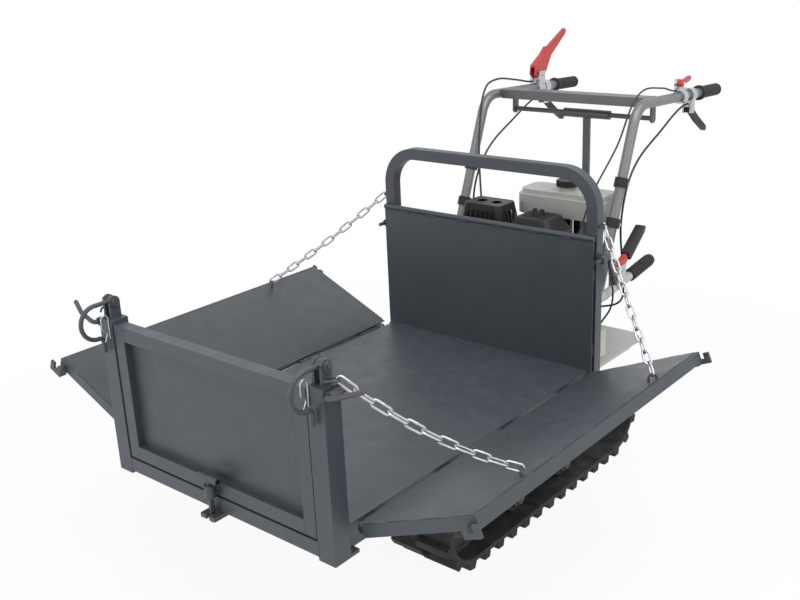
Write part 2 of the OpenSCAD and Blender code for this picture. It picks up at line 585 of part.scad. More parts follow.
// Bed
knuckle_w = 38;
function knuckle_at(i) = board_y0 + 40 + i*(board_l - 80 - 2*knuckle_w)/(knuckles - 1);
module knuckle(y) translate([hinge_x, 0, hinge_z]) rod_y(knuckle_d, y, y + knuckle_w);
module bed_floor() color(slate) in_bed() difference() {
  union() {
    translate([-bed_x + 14, post_s, -sheet_t]) cube([bed_w - 28, bed_len - post_s, sheet_t]);
    translate([-bed_x + post_s, gate_y + gate_d + 4, -sheet_t]) cube([bed_w - 2*post_s, post_s - gate_y - gate_d, sheet_t]);
    for (s = [-1, 1]) side(s) {
      translate([bed_x - 14 - beam_w, post_s, -sheet_t - beam_h]) cube([beam_w, bed_len - post_s, beam_h + 1]);
      for (i = [0:knuckles - 1]) {
        knuckle(knuckle_at(i));
        translate([bed_x - 15, knuckle_at(i), hinge_z - knuckle_d/2 + 2]) cube([hinge_x - bed_x + 13, knuckle_w, knuckle_d/2]);
      }
      translate([pivot_x, pivot_y - 22, -sheet_t - beam_h - pivot_drop]) cube([10, 44, pivot_drop + 20]);
      translate([0, pivot_y, -sheet_t - beam_h - pivot_drop]) rod_x(44, pivot_x, pivot_x + 10);
    }
    translate([-bed_x + post_s, 0, -sheet_t - beam_h]) cube([bed_w - 2*post_s, post_s + 6, beam_h + sheet_t + gate_low - 4]);
    for (y = [pivot_y - 20, 620, 820]) translate([-bed_x + 20, y, -sheet_t - beam_h]) cube([bed_w - 40, beam_w, beam_h + 1]);
    translate([-bed_x, bed_len, -sheet_t - beam_h]) cube([bed_w, hoop_y + hoop_s/2 - bed_len, beam_h]);
    translate([-bed_x + 20, bed_len - 8, -sheet_t - beam_h]) cube([bed_w - 40, 10, beam_h]);
    translate([-bed_x + 20, bed_len - 8, -sheet_t - 4]) cube([bed_w - 40, 8, 5]);
  }
  for (s = [-1, 1]) side(s) translate([hinge_x, 0, hinge_z]) rod_y(rod_d + 2*fit, 0, bed_len);
  translate([0, pivot_y, -sheet_t - beam_h - pivot_drop]) rod_x(pivot_d + 2*fit, -200, 200);
}
pivot_x = 62;
latch_y = -14;
latch_flat = 7;
keeper_t = 10;
// Keeper of the gate's latch under the front beam, open to the front
module gate_keeper() color(slate) in_bed() translate([0, latch_y, -sheet_t - beam_h - keeper_t]) linear_extrude(keeper_t) difference() {
  translate([-22, -14]) square([44, -latch_y + 30]);
  circle(d = latch_d + 2);
  translate([-latch_flat/2 - 1, -40]) square([latch_flat + 2, 40]);
}
module post() color(slate) difference() {
  union() {
    translate([bed_x - post_s, 0, -sheet_t - beam_h]) difference() {
      cube([post_s, post_s, post_h + sheet_t + beam_h]);
      translate([post_wall, post_wall, post_wall]) cube([post_s - 2*post_wall, post_s - 2*post_wall, post_h + sheet_t + beam_h - 2*post_wall]);
    }
    translate([0, gate_axis_y, gate_axis_z]) rod_x(stub_d + 12, bed_x - post_s, bed_x - 1);
    // ears of the C lever and its bolt
    for (x = [-13, 7]) translate([post_mid + x, post_s/2, post_h]) {
      translate([0, -13, -1]) cube([6, 26, c_rise + 1]);
      translate([0, 0, c_rise]) rod_x(26, 0, 6);
    }
    translate([post_mid, post_s/2, post_h + c_rise]) {
      rod_x(lever_d, -20, 24);
      for (x = [-20, 13]) translate([x, 0, 0]) rotate([0, 90, 0]) cylinder(d = 20, h = 7, $fn = 6);
    }
    // bush of the lock lever
    translate([lock_x, 0, lock_z]) rod_y(bush_d, 4, 32);
    translate([bed_x - 1, 4, lock_z - 6]) cube([8, 28, 12]);
    // shoe at the foot
    translate([bed_x - post_s, 0, -sheet_t - beam_h - 8]) { cube([post_s, post_s, 9]); cube([post_s, post_s + 24, 8]); }
    chain_top(front_a, front_b);
  }
  translate([0, gate_axis_y, gate_axis_z]) rod_x(stub_d + 2*fit, bed_x - post_s - 1, bed_x - 8);
  translate([lock_x, 0, lock_z]) rod_y(lever_d + 2*fit, 0, 40);
}
module headboard() color(slate) in_bed() {
  translate([-bed_x + 3, bed_len, -sheet_t]) cube([bed_w - 6, sheet_t, head_h - 8 + sheet_t]);
  translate([0, bed_len + sheet_t, head_h - 7]) rod_x(14, -bed_x + 3, bed_x - 3);
  for (z = [60, 180, 300]) translate([-bed_x + hoop_s + 2, bed_len + sheet_t - 0.5, z]) cube([bed_w - 2*hoop_s - 4, 18, 30]);
}
module hoop() color(slate) in_bed() difference() {
  union() {
    translate([0, hoop_y, 0]) rotate([90, 0, 0])
      bent([[-bed_x + hoop_s/2, -sheet_t], [-bed_x + hoop_s/2, hoop_top], [bed_x - hoop_s/2, hoop_top], [bed_x - hoop_s/2, -sheet_t]], hoop_r, hoop_s, true);
    for (s = [-1, 1]) side(s) {
      translate([lock_x, 0, lock_z]) rod_y(bush_d, hoop_y - 12, hoop_y + 14);
      translate([bed_x - 1, hoop_y - 12, lock_z - 6]) cube([8, 26, 12]);
      chain_top(rear_a, rear_b);
    }
    for (s = [-1, 1], z = [40, 240]) side(s) translate([bed_x - hoop_s, bed_len + sheet_t, z]) cube([hoop_s - 4, 9, 30]);
  }
  for (s = [-1, 1]) side(s) translate([lock_x, 0, lock_z]) rod_y(lever_d + 2*fit, hoop_y - 20, hoop_y + 20);
}
module hinge_rod() translate([hinge_x, 0, hinge_z]) {
  rod_y(rod_d, board_y0 + 20, board_y0 + board_l - 20);
  for (y = [board_y0 + 12, board_y0 + board_l - 20]) rod_y(rod_d + 8, y, y + 8);
}
// A side board in its own frame: x runs out from the hinge, z is square to the panel
module on_board() translate([hinge_x, 0, hinge_z]) rotate([0, -flare, 0]) children();
module board() color(slate) on_board() difference() {
  union() {
    difference() {
      translate([board_in, board_y0, -board_t/2]) cube([board_u - board_in, board_l, board_t]);
      translate([board_in + board_rail, board_y0 + board_rail, -board_t/2 - 1])
        cube([board_u - board_in - 2*board_rail, board_l - 2*board_rail, board_t + 2]);
    }
    translate([board_in + board_rail - 2, board_y0 + board_rail - 2, board_t/2 - 6])
      cube([board_u - board_in - 2*board_rail + 4, board_l - 2*board_rail + 4, sheet_t]);
    for (i = [1, 2]) translate([board_in + board_rail - 1, board_y0 + i*board_l/3 - 15, -board_t/2])
      cube([board_u - board_in - 2*board_rail + 2, 30, board_t - 5]);
    for (i = [0:knuckles - 1]) translate([0, knuckle_at(i) + knuckle_w + 0.5, 0]) {
      rod_y(knuckle_d, 0, knuckle_w);
      translate([0, 0, -knuckle_d/2 + 2]) cube([board_in + 1, knuckle_w, knuckle_d - 4]);
    }
    // forks that meet the lock levers
    for (e = [0, 1]) translate([0, e == 0 ? board_y0 : board_y0 + board_l, 0]) mirror([0, e, 0]) {
      translate([lock_u - 20, -18, -22]) cube([40, 6, 26]);
      translate([lock_u - 20, -13, -22]) cube([14, 14, 18]);
    }
  }
  rod_y(rod_d + 2*fit, 0, bed_len);
  // slots between the stitch welds
  for (i = [0:6]) translate([0, board_y0 + board_rail + 12 + i*(board_l - 2*board_rail)/7, board_t/2 - 8]) {
    for (x = [board_in + board_rail, board_u - board_rail - 3]) translate([x, 0, 0]) cube([3, (board_l - 2*board_rail)/7 - 24, 12]);
  }
  // notch of the forks
  for (y = [board_y0 - 20, board_y0 + board_l + 10]) translate([lock_u - lever_d/2 - 1.5, y, lock_n - lever_d/2 - 1]) cube([lever_d + 3, 10, 40]);
}
lock_n = hinge_x - lock_x;
// Chains
front_a = [bed_x + 14, 30, post_h + 14];
rear_a = [bed_x + 14, hoop_y - 4, head_h + 21];
function board_point(u, y, n) = [hinge_x + u*cos(flare) - n*sin(flare), y, hinge_z + u*sin(flare) + n*cos(flare)];
staple_r = 9;
front_b = board_point(board_u - 14, board_y0 + 171, board_t/2 + 16);
rear_b = board_point(board_u - 14, board_y0 + board_l - 196, board_t/2 + 16);
module staple(l) {
  rotate_extrude(angle = 180) translate([staple_r, 0]) circle(d = link_d);
  for (s = [-1, 1]) translate([s*staple_r, 0, 0]) rotate([90, 0, 0]) cylinder(d = link_d, h = l);
}
module chain_top(a, b) translate(a) rotate([0, 0, heading(a, b)]) translate([-staple_r, 0, 0]) rotate([0, 0, -90]) staple(20);
module chain_foot(a, b) translate(b) rotate([0, 0, heading(a, b)]) translate([0, 0, -staple_r]) rotate([90, 0, 90]) staple(16);
module link(h) rotate([90, 0, 0]) for (m = [0, 1]) rotate(180*m) {
  translate([0, h - link_w]) rotate_extrude(angle = 180) translate([link_w, 0]) circle(d = link_d);
  translate([link_w, -h + link_w, 0]) rotate([-90, 0, 0]) cylinder(d = link_d, h = 2*(h - link_w));
}
module chain(a, b, n) {
  v = b - a;
  d = norm(v);
  step = link_d + gap;
  h = (d + step*(n + 1))/(2*n);
  translate(a) rotate([0, acos(v[2]/d), heading(a, b)])
    for (i = [0:n - 1]) translate([0, 0, h - step + i*(2*h - step)]) rotate([0, 0, 90*(i%2)]) link(h);
}
module chains() color(zinc) { chain(front_a, front_b, 11); chain(rear_a, rear_b, 13); }

// Gate
module gate() color(slate) in_bed() difference() {
  union() {
    translate([-gate_w/2, gate_y, gate_low]) difference() {
      cube([gate_w, gate_d, gate_top - gate_low]);
      translate([gate_rail, -1, gate_rail]) cube([gate_w - 2*gate_rail, gate_d + 2, gate_top - gate_low - 2*gate_rail]);
    }
    translate([-gate_w/2 + gate_rail - 1, gate_y + gate_d - 12, gate_low + gate_rail - 1])
      cube([gate_w - 2*gate_rail + 2, sheet_t, gate_top - gate_low - 2*gate_rail + 2]);
    for (s = [-1, 1]) side(s) translate([0, gate_axis_y, gate_axis_z]) rod_x(stub_d, gate_w/2 - 1, gate_w/2 + gate_gap + 28);
    translate([0, latch_y, gate_low + 2]) cylinder(d = latch_d + 12, h = 28);
    translate([-8, latch_y, gate_low + 2]) cube([16, -latch_y + gate_y + 2, 28]);
  }
  translate([0, latch_y, gate_low - 10]) cylinder(d = latch_d + 2*fit, h = 80);
}
module gate_latch() color(tube_grey) in_bed() translate([0, latch_y, 0]) {
  translate([0, 0, gate_low - 3]) cylinder(d = latch_d, h = 52);
  translate([-latch_flat/2, -latch_d/2 + 0.8, -sheet_t - beam_h - 20]) cube([latch_flat, latch_d - 1.6, gate_low + sheet_t + beam_h + 20]);
  translate([0, 0, gate_low + gate_rail + 13]) difference() {
    rod_x(18, -30, 30);
    for (t = [-1, 1]) side(t) rod_x(11, 12, 60);
  }
}

// Levers of the bed
module c_lever() color(tube_grey) in_bed() difference() {
  union() {
    bent_x(post_mid, [[post_s/2, post_h + c_rise], [-lever_out, post_h + c_rise]], 1, lever_d);
    translate([post_mid, -lever_out, post_h + c_rise - c_r]) rotate([90, 0, 90]) rotate([0, 0, 90])
      rotate_extrude(angle = 180) translate([c_r, 0]) circle(d = lever_d);
    bent_x(post_mid, [[-lever_out, post_h + c_rise - 2*c_r], [-lever_d, post_h + c_rise - 2*c_r], [-lever_d, post_h + c_rise - 2*c_r - 34]], 11, lever_d);
    translate([post_mid, post_s/2, post_h + c_rise]) rod_x(lever_d + 12, -6.6, 6.6);
  }
  translate([post_mid, post_s/2, post_h + c_rise]) rod_x(lever_d + 2*fit, -30, 30);
}
// Front lock levers point out, rear ones hang
// A shaft along y with its arm bent out square to it, at an angle a above the horizontal
module lock_rod(y0, y1, a, arm) rotate([0, -a, 0]) bent(concat([[0, y0], [0, y1]], arm), 12, lever_d);
module lock_front() color(tube_grey) in_bed() translate([lock_x, 0, lock_z])
  lock_rod(board_y0 - 4, -8, 20, [[46, -8], [88, 6]]);
module lock_rear() color(tube_grey) in_bed() translate([lock_x, 0, lock_z])
  lock_rod(board_y0 + board_l + 4, hoop_y + 28, -80, [[30, hoop_y + 28], [76, hoop_y + 40]]);
// Hairpin clips beside the C levers
module clip() translate([post_mid - 15, -1.5 - gap, post_h - 40]) rotate([90, 0, 90]) {
  rotate([-90, 0, 0]) cylinder(d = 3, h = 46);
  translate([-9, 46, 0]) rotate_extrude(angle = 180) translate([9, 0]) circle(d = 3);
  bent([[-18, 46], [-18, 26], [-5, 14], [-14, -4]], 5, 3);
}
// Rods of the board hinges, and the clips
module bed_pins() color(zinc) in_bed() for (s = [-1, 1]) side(s) { hinge_rod(); clip(); }

// Tip handle
tip_x = bed_x - 27;
tip_z = 170;
tip_y = hoop_y + hoop_s/2;
tip_rise = atan2(34, 251);
tip_tube = [[tip_y, tip_z], [tip_y + 60, tip_z], [tip_y + 311, tip_z + 34]];
tip_pin = [tip_x, tip_y + 131, tip_z + 54];
module tip_handle() color(silver) in_bed() {
  bent_x(tip_x, tip_tube, 80, 24);
  translate([tip_x - 20, tip_y, tip_z - 150]) cube([40, 6, 200]);
  // cheeks of the release lever
  for (t = [-1, 1]) translate([tip_x + t*12 - 2.5, tip_pin[1] - 20, tip_z + 4]) cube([5, 40, 62]);
  translate(tip_pin) rod_x(8, -16, 16);
  translate([tip_x - 14, tip_pin[1] - 24, tip_z + 44]) difference() { cube([28, 5, 22]); translate([14, -1, 12]) rod_y(5.8, 0, 8); }
  // case of the tip lock
  translate([tip_x - 24, tip_y, tip_z - 150]) cube([44, 40, 70]);
}
module tip_grip() color(black) in_bed() translate([tip_x, tip_tube[2][0], tip_tube[2][1]]) rotate([tip_rise, 0, 0]) difference() {
  union() {
    rod_y(30, -116, 4);
    for (i = [0:10]) rod_y(34, -112 + 10*i, -106 + 10*i);
  }
  rod_y(24 + 2*fit, -130, gap);
}
module tip_lever() color(red) in_bed() translate(tip_pin) difference() {
  union() {
    rod_x(22, -9, 9);
    along_x(-8) linear_extrude(16) polygon([[-14, -4], [10, -8], [40, 16], [34, 30], [-10, 12]]);
    along_x(-5) linear_extrude(10) polygon([[30, 14], [40, 12], [122, 74], [128, 88], [116, 90], [30, 28]]);
  }
  rod_x(8 + 2*fit, -30, 30);
}
tip_route = [for (q = [[0, 109, 56], [0, 97, 56], [6, 80, 54], [24, 64, 16], [24, 54, -26], [12, 32, -58], [7, 25, -70], [7, 25, -79.7]]) [tip_x, tip_y, tip_z] + q];
module tip_cable() color(black) in_bed() cable(tip_route, 5);

module chain_feet() color(slate) { chain_foot(front_a, front_b); chain_foot(rear_a, rear_b); }

// The two hands of each pair
module left_beam() in_chassis() side(-1) beam();
module right_beam() in_chassis() beam();
module left_track() in_chassis() side(-1) track();
module right_track() in_chassis() track();
module left_sprocket() in_chassis() side(-1) sprocket();
module right_sprocket() in_chassis() sprocket();
module left_idler() in_chassis() side(-1) idler();
module right_idler() in_chassis() idler();
module left_roller_1() in_chassis() side(-1) roller(0);
module left_roller_2() in_chassis() side(-1) roller(1);
module right_roller_1() in_chassis() roller(0);
module right_roller_2() in_chassis() roller(1);
module left_handle() in_bed() side(-1) handle();
module right_handle() in_bed() handle();
module left_grip() in_bed() side(-1) grip();
module right_grip() in_bed() grip();
module left_steer_lever() steer_lever(-1);
module right_steer_lever() steer_lever(1);
module left_post() in_bed() side(-1) post();
module right_post() in_bed() post();
module left_board() in_bed() side(-1) { board(); chain_feet(); }
module right_board() in_bed() { board(); chain_feet(); }
module left_chains() in_bed() side(-1) chains();
module right_chains() in_bed() chains();
module left_c_lever() side(-1) c_lever();
module right_c_lever() c_lever();
module lock_front_left() side(-1) lock_front();
module lock_front_right() lock_front();
module lock_rear_left() side(-1) lock_rear();
module lock_rear_right() lock_rear();

main_frame();
left_beam();
right_beam();
left_track();
right_track();
left_sprocket();
right_sprocket();
left_idler();
right_idler();
left_roller_1();
left_roller_2();
right_roller_1();
right_roller_2();
gearbox();
engine_block();
fuel_tank();
fuel_cap();
air_filter();
muffler_guard();
belt_guard();
engine_pulley();
gearbox_pulley();
drive_belt();
left_handle();
right_handle();
cross_plate();
gear_lever();
left_grip();
right_grip();
control_mounts();
clutch_lever();
throttle_lever();
left_steer_lever();
right_steer_lever();
tube_clamps();
control_cables();
tip_shaft();
bed_floor();
left_post();
right_post();
headboard();
hoop();
bed_pins();
left_board();
right_board();
gate();
gate_latch();
left_chains();
right_chains();
left_c_lever();
right_c_lever();
lock_front_left();
lock_front_right();
lock_rear_left();
lock_rear_right();
gate_keeper();
tip_handle();
tip_grip();
tip_lever();
tip_cable();
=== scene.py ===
import math

import bmesh
import bpy
from mathutils import Matrix, Vector


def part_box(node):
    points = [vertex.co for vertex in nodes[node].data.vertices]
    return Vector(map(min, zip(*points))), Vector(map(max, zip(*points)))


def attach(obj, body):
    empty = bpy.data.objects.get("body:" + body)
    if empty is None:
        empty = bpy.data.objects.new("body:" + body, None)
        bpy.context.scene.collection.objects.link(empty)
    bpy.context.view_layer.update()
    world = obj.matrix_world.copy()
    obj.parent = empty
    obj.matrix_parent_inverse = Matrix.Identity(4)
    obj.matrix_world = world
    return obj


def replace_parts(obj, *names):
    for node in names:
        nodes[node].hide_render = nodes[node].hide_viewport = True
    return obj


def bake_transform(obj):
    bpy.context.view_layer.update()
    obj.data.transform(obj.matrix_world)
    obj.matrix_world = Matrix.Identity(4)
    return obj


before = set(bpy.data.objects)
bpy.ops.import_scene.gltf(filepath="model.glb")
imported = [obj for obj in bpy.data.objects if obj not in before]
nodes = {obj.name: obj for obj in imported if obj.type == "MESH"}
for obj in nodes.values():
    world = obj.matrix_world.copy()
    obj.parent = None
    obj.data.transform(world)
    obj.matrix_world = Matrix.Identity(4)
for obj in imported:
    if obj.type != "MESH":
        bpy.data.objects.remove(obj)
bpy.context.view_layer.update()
scene = bpy.context.scene
mm = 0.001
tiny = 1e-6

# the bed's own frame: y from the front plane of the posts, z from the floor's top
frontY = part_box("left_post")[0][1]
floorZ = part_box("bed_floor")[1][2]

# places that several pieces share, in millimetres in the bed's frame
handleX, bendY, bendZ, handleDroop = 248, 1344, 618, math.radians(2.4)
tubeY, tubeZ, tubeLean = 1080, -42, math.radians(68.199)
crankY, crankZ, deckZ, deckEnd = 1200, 108, -42, 1372
hingeX, hingeZ, boardFlare = 346, -10, math.radians(23.4)
tipX, tipY, tipZ = 313, 1005, 170


def bedPoint(x, y, z):
    return Vector((x*mm, y*mm + frontY, z*mm + floorZ))


# from a handle's bend: back along the grip, and up from it
def onHandle(side, back, up):
    c, s = math.cos(handleDroop), math.sin(handleDroop)
    return (side*handleX, bendY + back*c + up*s, bendZ - back*s + up*c)


# from a handle tube's foot: up along the tube, and back from it
def onTube(side, up, back):
    c, s = math.cos(tubeLean), math.sin(tubeLean)
    return (side*handleX, tubeY + up*c + back*s, tubeZ + up*s - back*c)


def onEngine(x, y, z):
    return (x, crankY + y, crankZ + z)


# on the right board: u out from its hinge, n off its face
def boardPoint(u, y, n):
    c, s = math.cos(boardFlare), math.sin(boardFlare)
    return Vector((hingeX + u*c - n*s, y, hingeZ + u*s + n*c))


print("frame loaded", len(nodes), "nodes")

# camera and light
cameraPlace = dict(at=(1.5273, -2.0576, 1.4221), azimuth=40.587, elevation=19.177, roll=-2.567,
                   lens=45.703, sensor=36, clip=(0.05, 60))


def makeCamera(place):
    az, el, ro = (math.radians(place[k]) for k in ("azimuth", "elevation", "roll"))
    back = Vector((math.sin(az)*math.cos(el), -math.cos(az)*math.cos(el), math.sin(el)))
    right = Vector((math.cos(az), math.sin(az), 0))
    up = back.cross(right)
    across = math.cos(ro)*right + math.sin(ro)*up
    above = math.cos(ro)*up - math.sin(ro)*right
    camera = bpy.data.objects.new("photoCamera", bpy.data.cameras.new("photoCamera"))
    scene.collection.objects.link(camera)
    turn = Matrix((across, above, back)).transposed().to_4x4()
    camera.matrix_world = Matrix.Translation(place["at"]) @ turn
    camera.data.sensor_width = place["sensor"]
    camera.data.lens = place["lens"]
    camera.data.clip_start, camera.data.clip_end = place["clip"]
    scene.camera = camera
    scene.view_settings.view_transform = "Standard"


makeCamera(cameraPlace)

studio = dict(
    lamps=[
        dict(name="topSoftbox", at=(1.2, -0.5, 3.5), aim=(0, 0.1, 0.3), size=3.2, power=74),
        dict(name="frontFill", at=(-0.8, -3.8, 1.4), aim=(0, 0, 0.5), size=2.6, power=40),
        dict(name="sideFill", at=(3.6, 0.2, 1.8), aim=(0, 0.2, 0.4), size=2.2, power=16)],
    ambient=0.50, white=(1, 1, 1, 1), floorSize=14, floorColor=(0.92, 0.92, 0.92, 1),
    # share of plain white near the object and further out, and the distances between which it changes
    floorGlow=(0.93, 1.0), glowReach=(1.1, 2.3))


def makeLamp(name, at, aim, size, power):
    lamp = bpy.data.lights.new(name, "AREA")
    lamp.shape, lamp.size, lamp.energy = "SQUARE", size, power
    turn = (Vector(aim) - Vector(at)).to_track_quat("-Z", "Y").to_matrix().to_4x4()
    holder = bpy.data.objects.new(name, lamp)
    holder.matrix_world = Matrix.Translation(at) @ turn
    scene.collection.objects.link(holder)


for lampRow in studio["lamps"]:
    makeLamp(**lampRow)


def mathOf(tree, operation, a, b):
    made = tree.nodes.new("ShaderNodeMath")
    made.operation = operation
    tree.links.new(a, made.inputs[0])
    tree.links.new(b, made.inputs[1])
    return made.outputs[0]


def ranged(tree, source, given, wanted, kind="LINEAR"):
    band = tree.nodes.new("ShaderNodeMapRange")
    band.interpolation_type = kind
    band.inputs["From Min"].default_value, band.inputs["From Max"].default_value = given
    band.inputs["To Min"].default_value, band.inputs["To Max"].default_value = wanted
    tree.links.new(source, band.inputs["Value"])
    return band.outputs["Result"]


# 1 for what the camera sees, also in mirrors and through clear parts
def seenDirectly(tree):
    path = tree.nodes.new("ShaderNodeLightPath")
    mirrored = mathOf(tree, "MAXIMUM", path.outputs["Is Camera Ray"], path.outputs["Is Glossy Ray"])
    return mathOf(tree, "MAXIMUM", mirrored, path.outputs["Is Transmission Ray"])


def mixShaders(tree, share, first, second, out):
    mix = tree.nodes.new("ShaderNodeMixShader")
    tree.links.new(share, mix.inputs[0])
    tree.links.new(first.outputs[0], mix.inputs[1])
    tree.links.new(second.outputs[0], mix.inputs[2])
    tree.links.new(mix.outputs[0], out.inputs[0])


def makeWorld(look):
    world = bpy.data.worlds.new("whiteStudio")
    scene.world = world
    world.use_nodes = True
    tree = world.node_tree
    tree.nodes.clear()
    soft = tree.nodes.new("ShaderNodeBackground")
    plain = tree.nodes.new("ShaderNodeBackground")
    soft.inputs["Strength"].default_value = look["ambient"]
    soft.inputs["Color"].default_value = look["white"]
    plain.inputs["Color"].default_value = look["white"]
    mixShaders(tree, seenDirectly(tree), soft, plain, tree.nodes.new("ShaderNodeOutputWorld"))


makeWorld(studio)


def makeFloor(look):
    mesh = bpy.data.meshes.new("studioFloor")
    bm = bmesh.new()
    bmesh.ops.create_grid(bm, x_segments=1, y_segments=1, size=look["floorSize"])
    bm.to_mesh(mesh)
    bm.free()
    floor = bpy.data.objects.new("studioFloor", mesh)
    scene.collection.objects.link(floor)
    material = bpy.data.materials.new("paleFloor")
    material.use_nodes = True
    tree = material.node_tree
    tree.nodes.clear()
    place = tree.nodes.new("ShaderNodeTexCoord")
    away = tree.nodes.new("ShaderNodeVectorMath")
    away.operation = "LENGTH"
    tree.links.new(place.outputs["Object"], away.inputs[0])
    fade = ranged(tree, away.outputs["Value"], look["glowReach"], look["floorGlow"], "SMOOTHSTEP")
    share = mathOf(tree, "MULTIPLY", seenDirectly(tree), fade)
    matte = tree.nodes.new("ShaderNodeBsdfDiffuse")
    matte.inputs["Color"].default_value = look["floorColor"]
    glow = tree.nodes.new("ShaderNodeEmission")
    mixShaders(tree, share, matte, glow, tree.nodes.new("ShaderNodeOutputMaterial"))
    mesh.materials.append(material)


makeFloor(studio)
print("camera, lamps and floor ready")

# finishes: what a row leaves out comes from here; lengths in metres, textures per metre
plainFinish = dict(
    metal=0, specular=0.5, coat=0, coatRough=0.2, vary=0.12, patch=7, patchBand=(0.32, 0.68),
    roughVary=0.07, smear=18, smearBand=(0.3, 0.7), grain=700, grainDetail=2, strength=0.35, depth=0.0002,
    edge=0.0012, edgeSamples=4, wear=0, wearColor=(0.30, 0.30, 0.31, 1), rimBand=(0.995, 0.9),
    scuff=60, scuffRough=0.7, scuffBand=(0.48, 0.66), dust=0, dustColor=(0.33, 0.33, 0.33, 1), topBand=(0.55, 1),
    speck=24, speckRough=0.62, speckBand=(0.40, 0.70), softDetail=5, fineDetail=6, softRough=0.55)
shaderInputs = {"Metallic": "metal", "Specular IOR Level": "specular", "Coat Weight": "coat",
                "Coat Roughness": "coatRough"}


def makeFinish(name, changes):
    look = {**plainFinish, **changes}
    material = bpy.data.materials.new(name)
    material.use_nodes = True
    tree = material.node_tree
    tree.nodes.clear()
    join = tree.links.new
    out = tree.nodes.new("ShaderNodeOutputMaterial")
    shader = tree.nodes.new("ShaderNodeBsdfPrincipled")
    join(shader.outputs["BSDF"], out.inputs["Surface"])
    for socket, key in shaderInputs.items():
        shader.inputs[socket].default_value = look[key]
    place = tree.nodes.new("ShaderNodeTexCoord")
    facing = tree.nodes.new("ShaderNodeNewGeometry")

    def noise(scale, detail, roughness):
        cloud = tree.nodes.new("ShaderNodeTexNoise")
        cloud.inputs["Scale"].default_value = scale
        cloud.inputs["Detail"].default_value = detail
        cloud.inputs["Roughness"].default_value = roughness
        join(place.outputs["Object"], cloud.inputs["Vector"])
        return cloud.outputs["Fac"]

    # sockets 6 and 7 take the two colours, and 2 gives the mixed one
    def mixed(share, a, b):
        mix = tree.nodes.new("ShaderNodeMix")
        mix.data_type = "RGBA"
        join(share, mix.inputs[0])
        for side, value in ((6, a), (7, b)):
            if isinstance(value, tuple):
                mix.inputs[side].default_value = value
            else:
                join(value, mix.inputs[side])
        return mix.outputs[2]

    dark = tuple(c*(1 - look["vary"]) for c in look["color"]) + (1,)
    light = tuple(min(1, c*(1 + look["vary"])) for c in look["color"]) + (1,)
    patches = noise(look["patch"], look["softDetail"], look["softRough"])
    tone = mixed(ranged(tree, patches, look["patchBand"], (0, 1)), dark, light)
    # rounded edges for the light, and the bare rim that handling leaves there
    rim = tree.nodes.new("ShaderNodeBevel")
    rim.samples = look["edgeSamples"]
    rim.inputs["Radius"].default_value = look["edge"]
    if look["wear"]:
        dot = tree.nodes.new("ShaderNodeVectorMath")
        dot.operation = "DOT_PRODUCT"
        join(rim.outputs["Normal"], dot.inputs[0])
        join(facing.outputs["Normal"], dot.inputs[1])
        edge = ranged(tree, dot.outputs["Value"], look["rimBand"], (0, 1))
        marks = noise(look["scuff"], look["fineDetail"], look["scuffRough"])
        scuff = ranged(tree, marks, look["scuffBand"], (0, look["wear"]))
        tone = mixed(mathOf(tree, "MULTIPLY", edge, scuff), tone, look["wearColor"])
    # thin dust on what faces up
    if look["dust"]:
        split = tree.nodes.new("ShaderNodeSeparateXYZ")
        join(facing.outputs["Normal"], split.inputs[0])
        upward = ranged(tree, split.outputs["Z"], look["topBand"], (0, look["dust"]))
        specks = noise(look["speck"], look["fineDetail"], look["speckRough"])
        film = mathOf(tree, "MULTIPLY", upward, ranged(tree, specks, look["speckBand"], (0, 1)))
        tone = mixed(film, tone, look["dustColor"])
    join(tone, shader.inputs["Base Color"])
    roughRange = (look["rough"] - look["roughVary"], min(1, look["rough"] + look["roughVary"]))
    smears = noise(look["smear"], look["softDetail"], look["softRough"])
    join(ranged(tree, smears, look["smearBand"], roughRange), shader.inputs["Roughness"])
    bump = tree.nodes.new("ShaderNodeBump")
    bump.inputs["Strength"].default_value = look["strength"]
    bump.inputs["Distance"].default_value = look["depth"]
    join(noise(look["grain"], look["grainDetail"], look["softRough"]), bump.inputs["Height"])
    join(rim.outputs["Normal"], bump.inputs["Normal"])
    join(bump.outputs["Normal"], shader.inputs["Normal"])
    return material


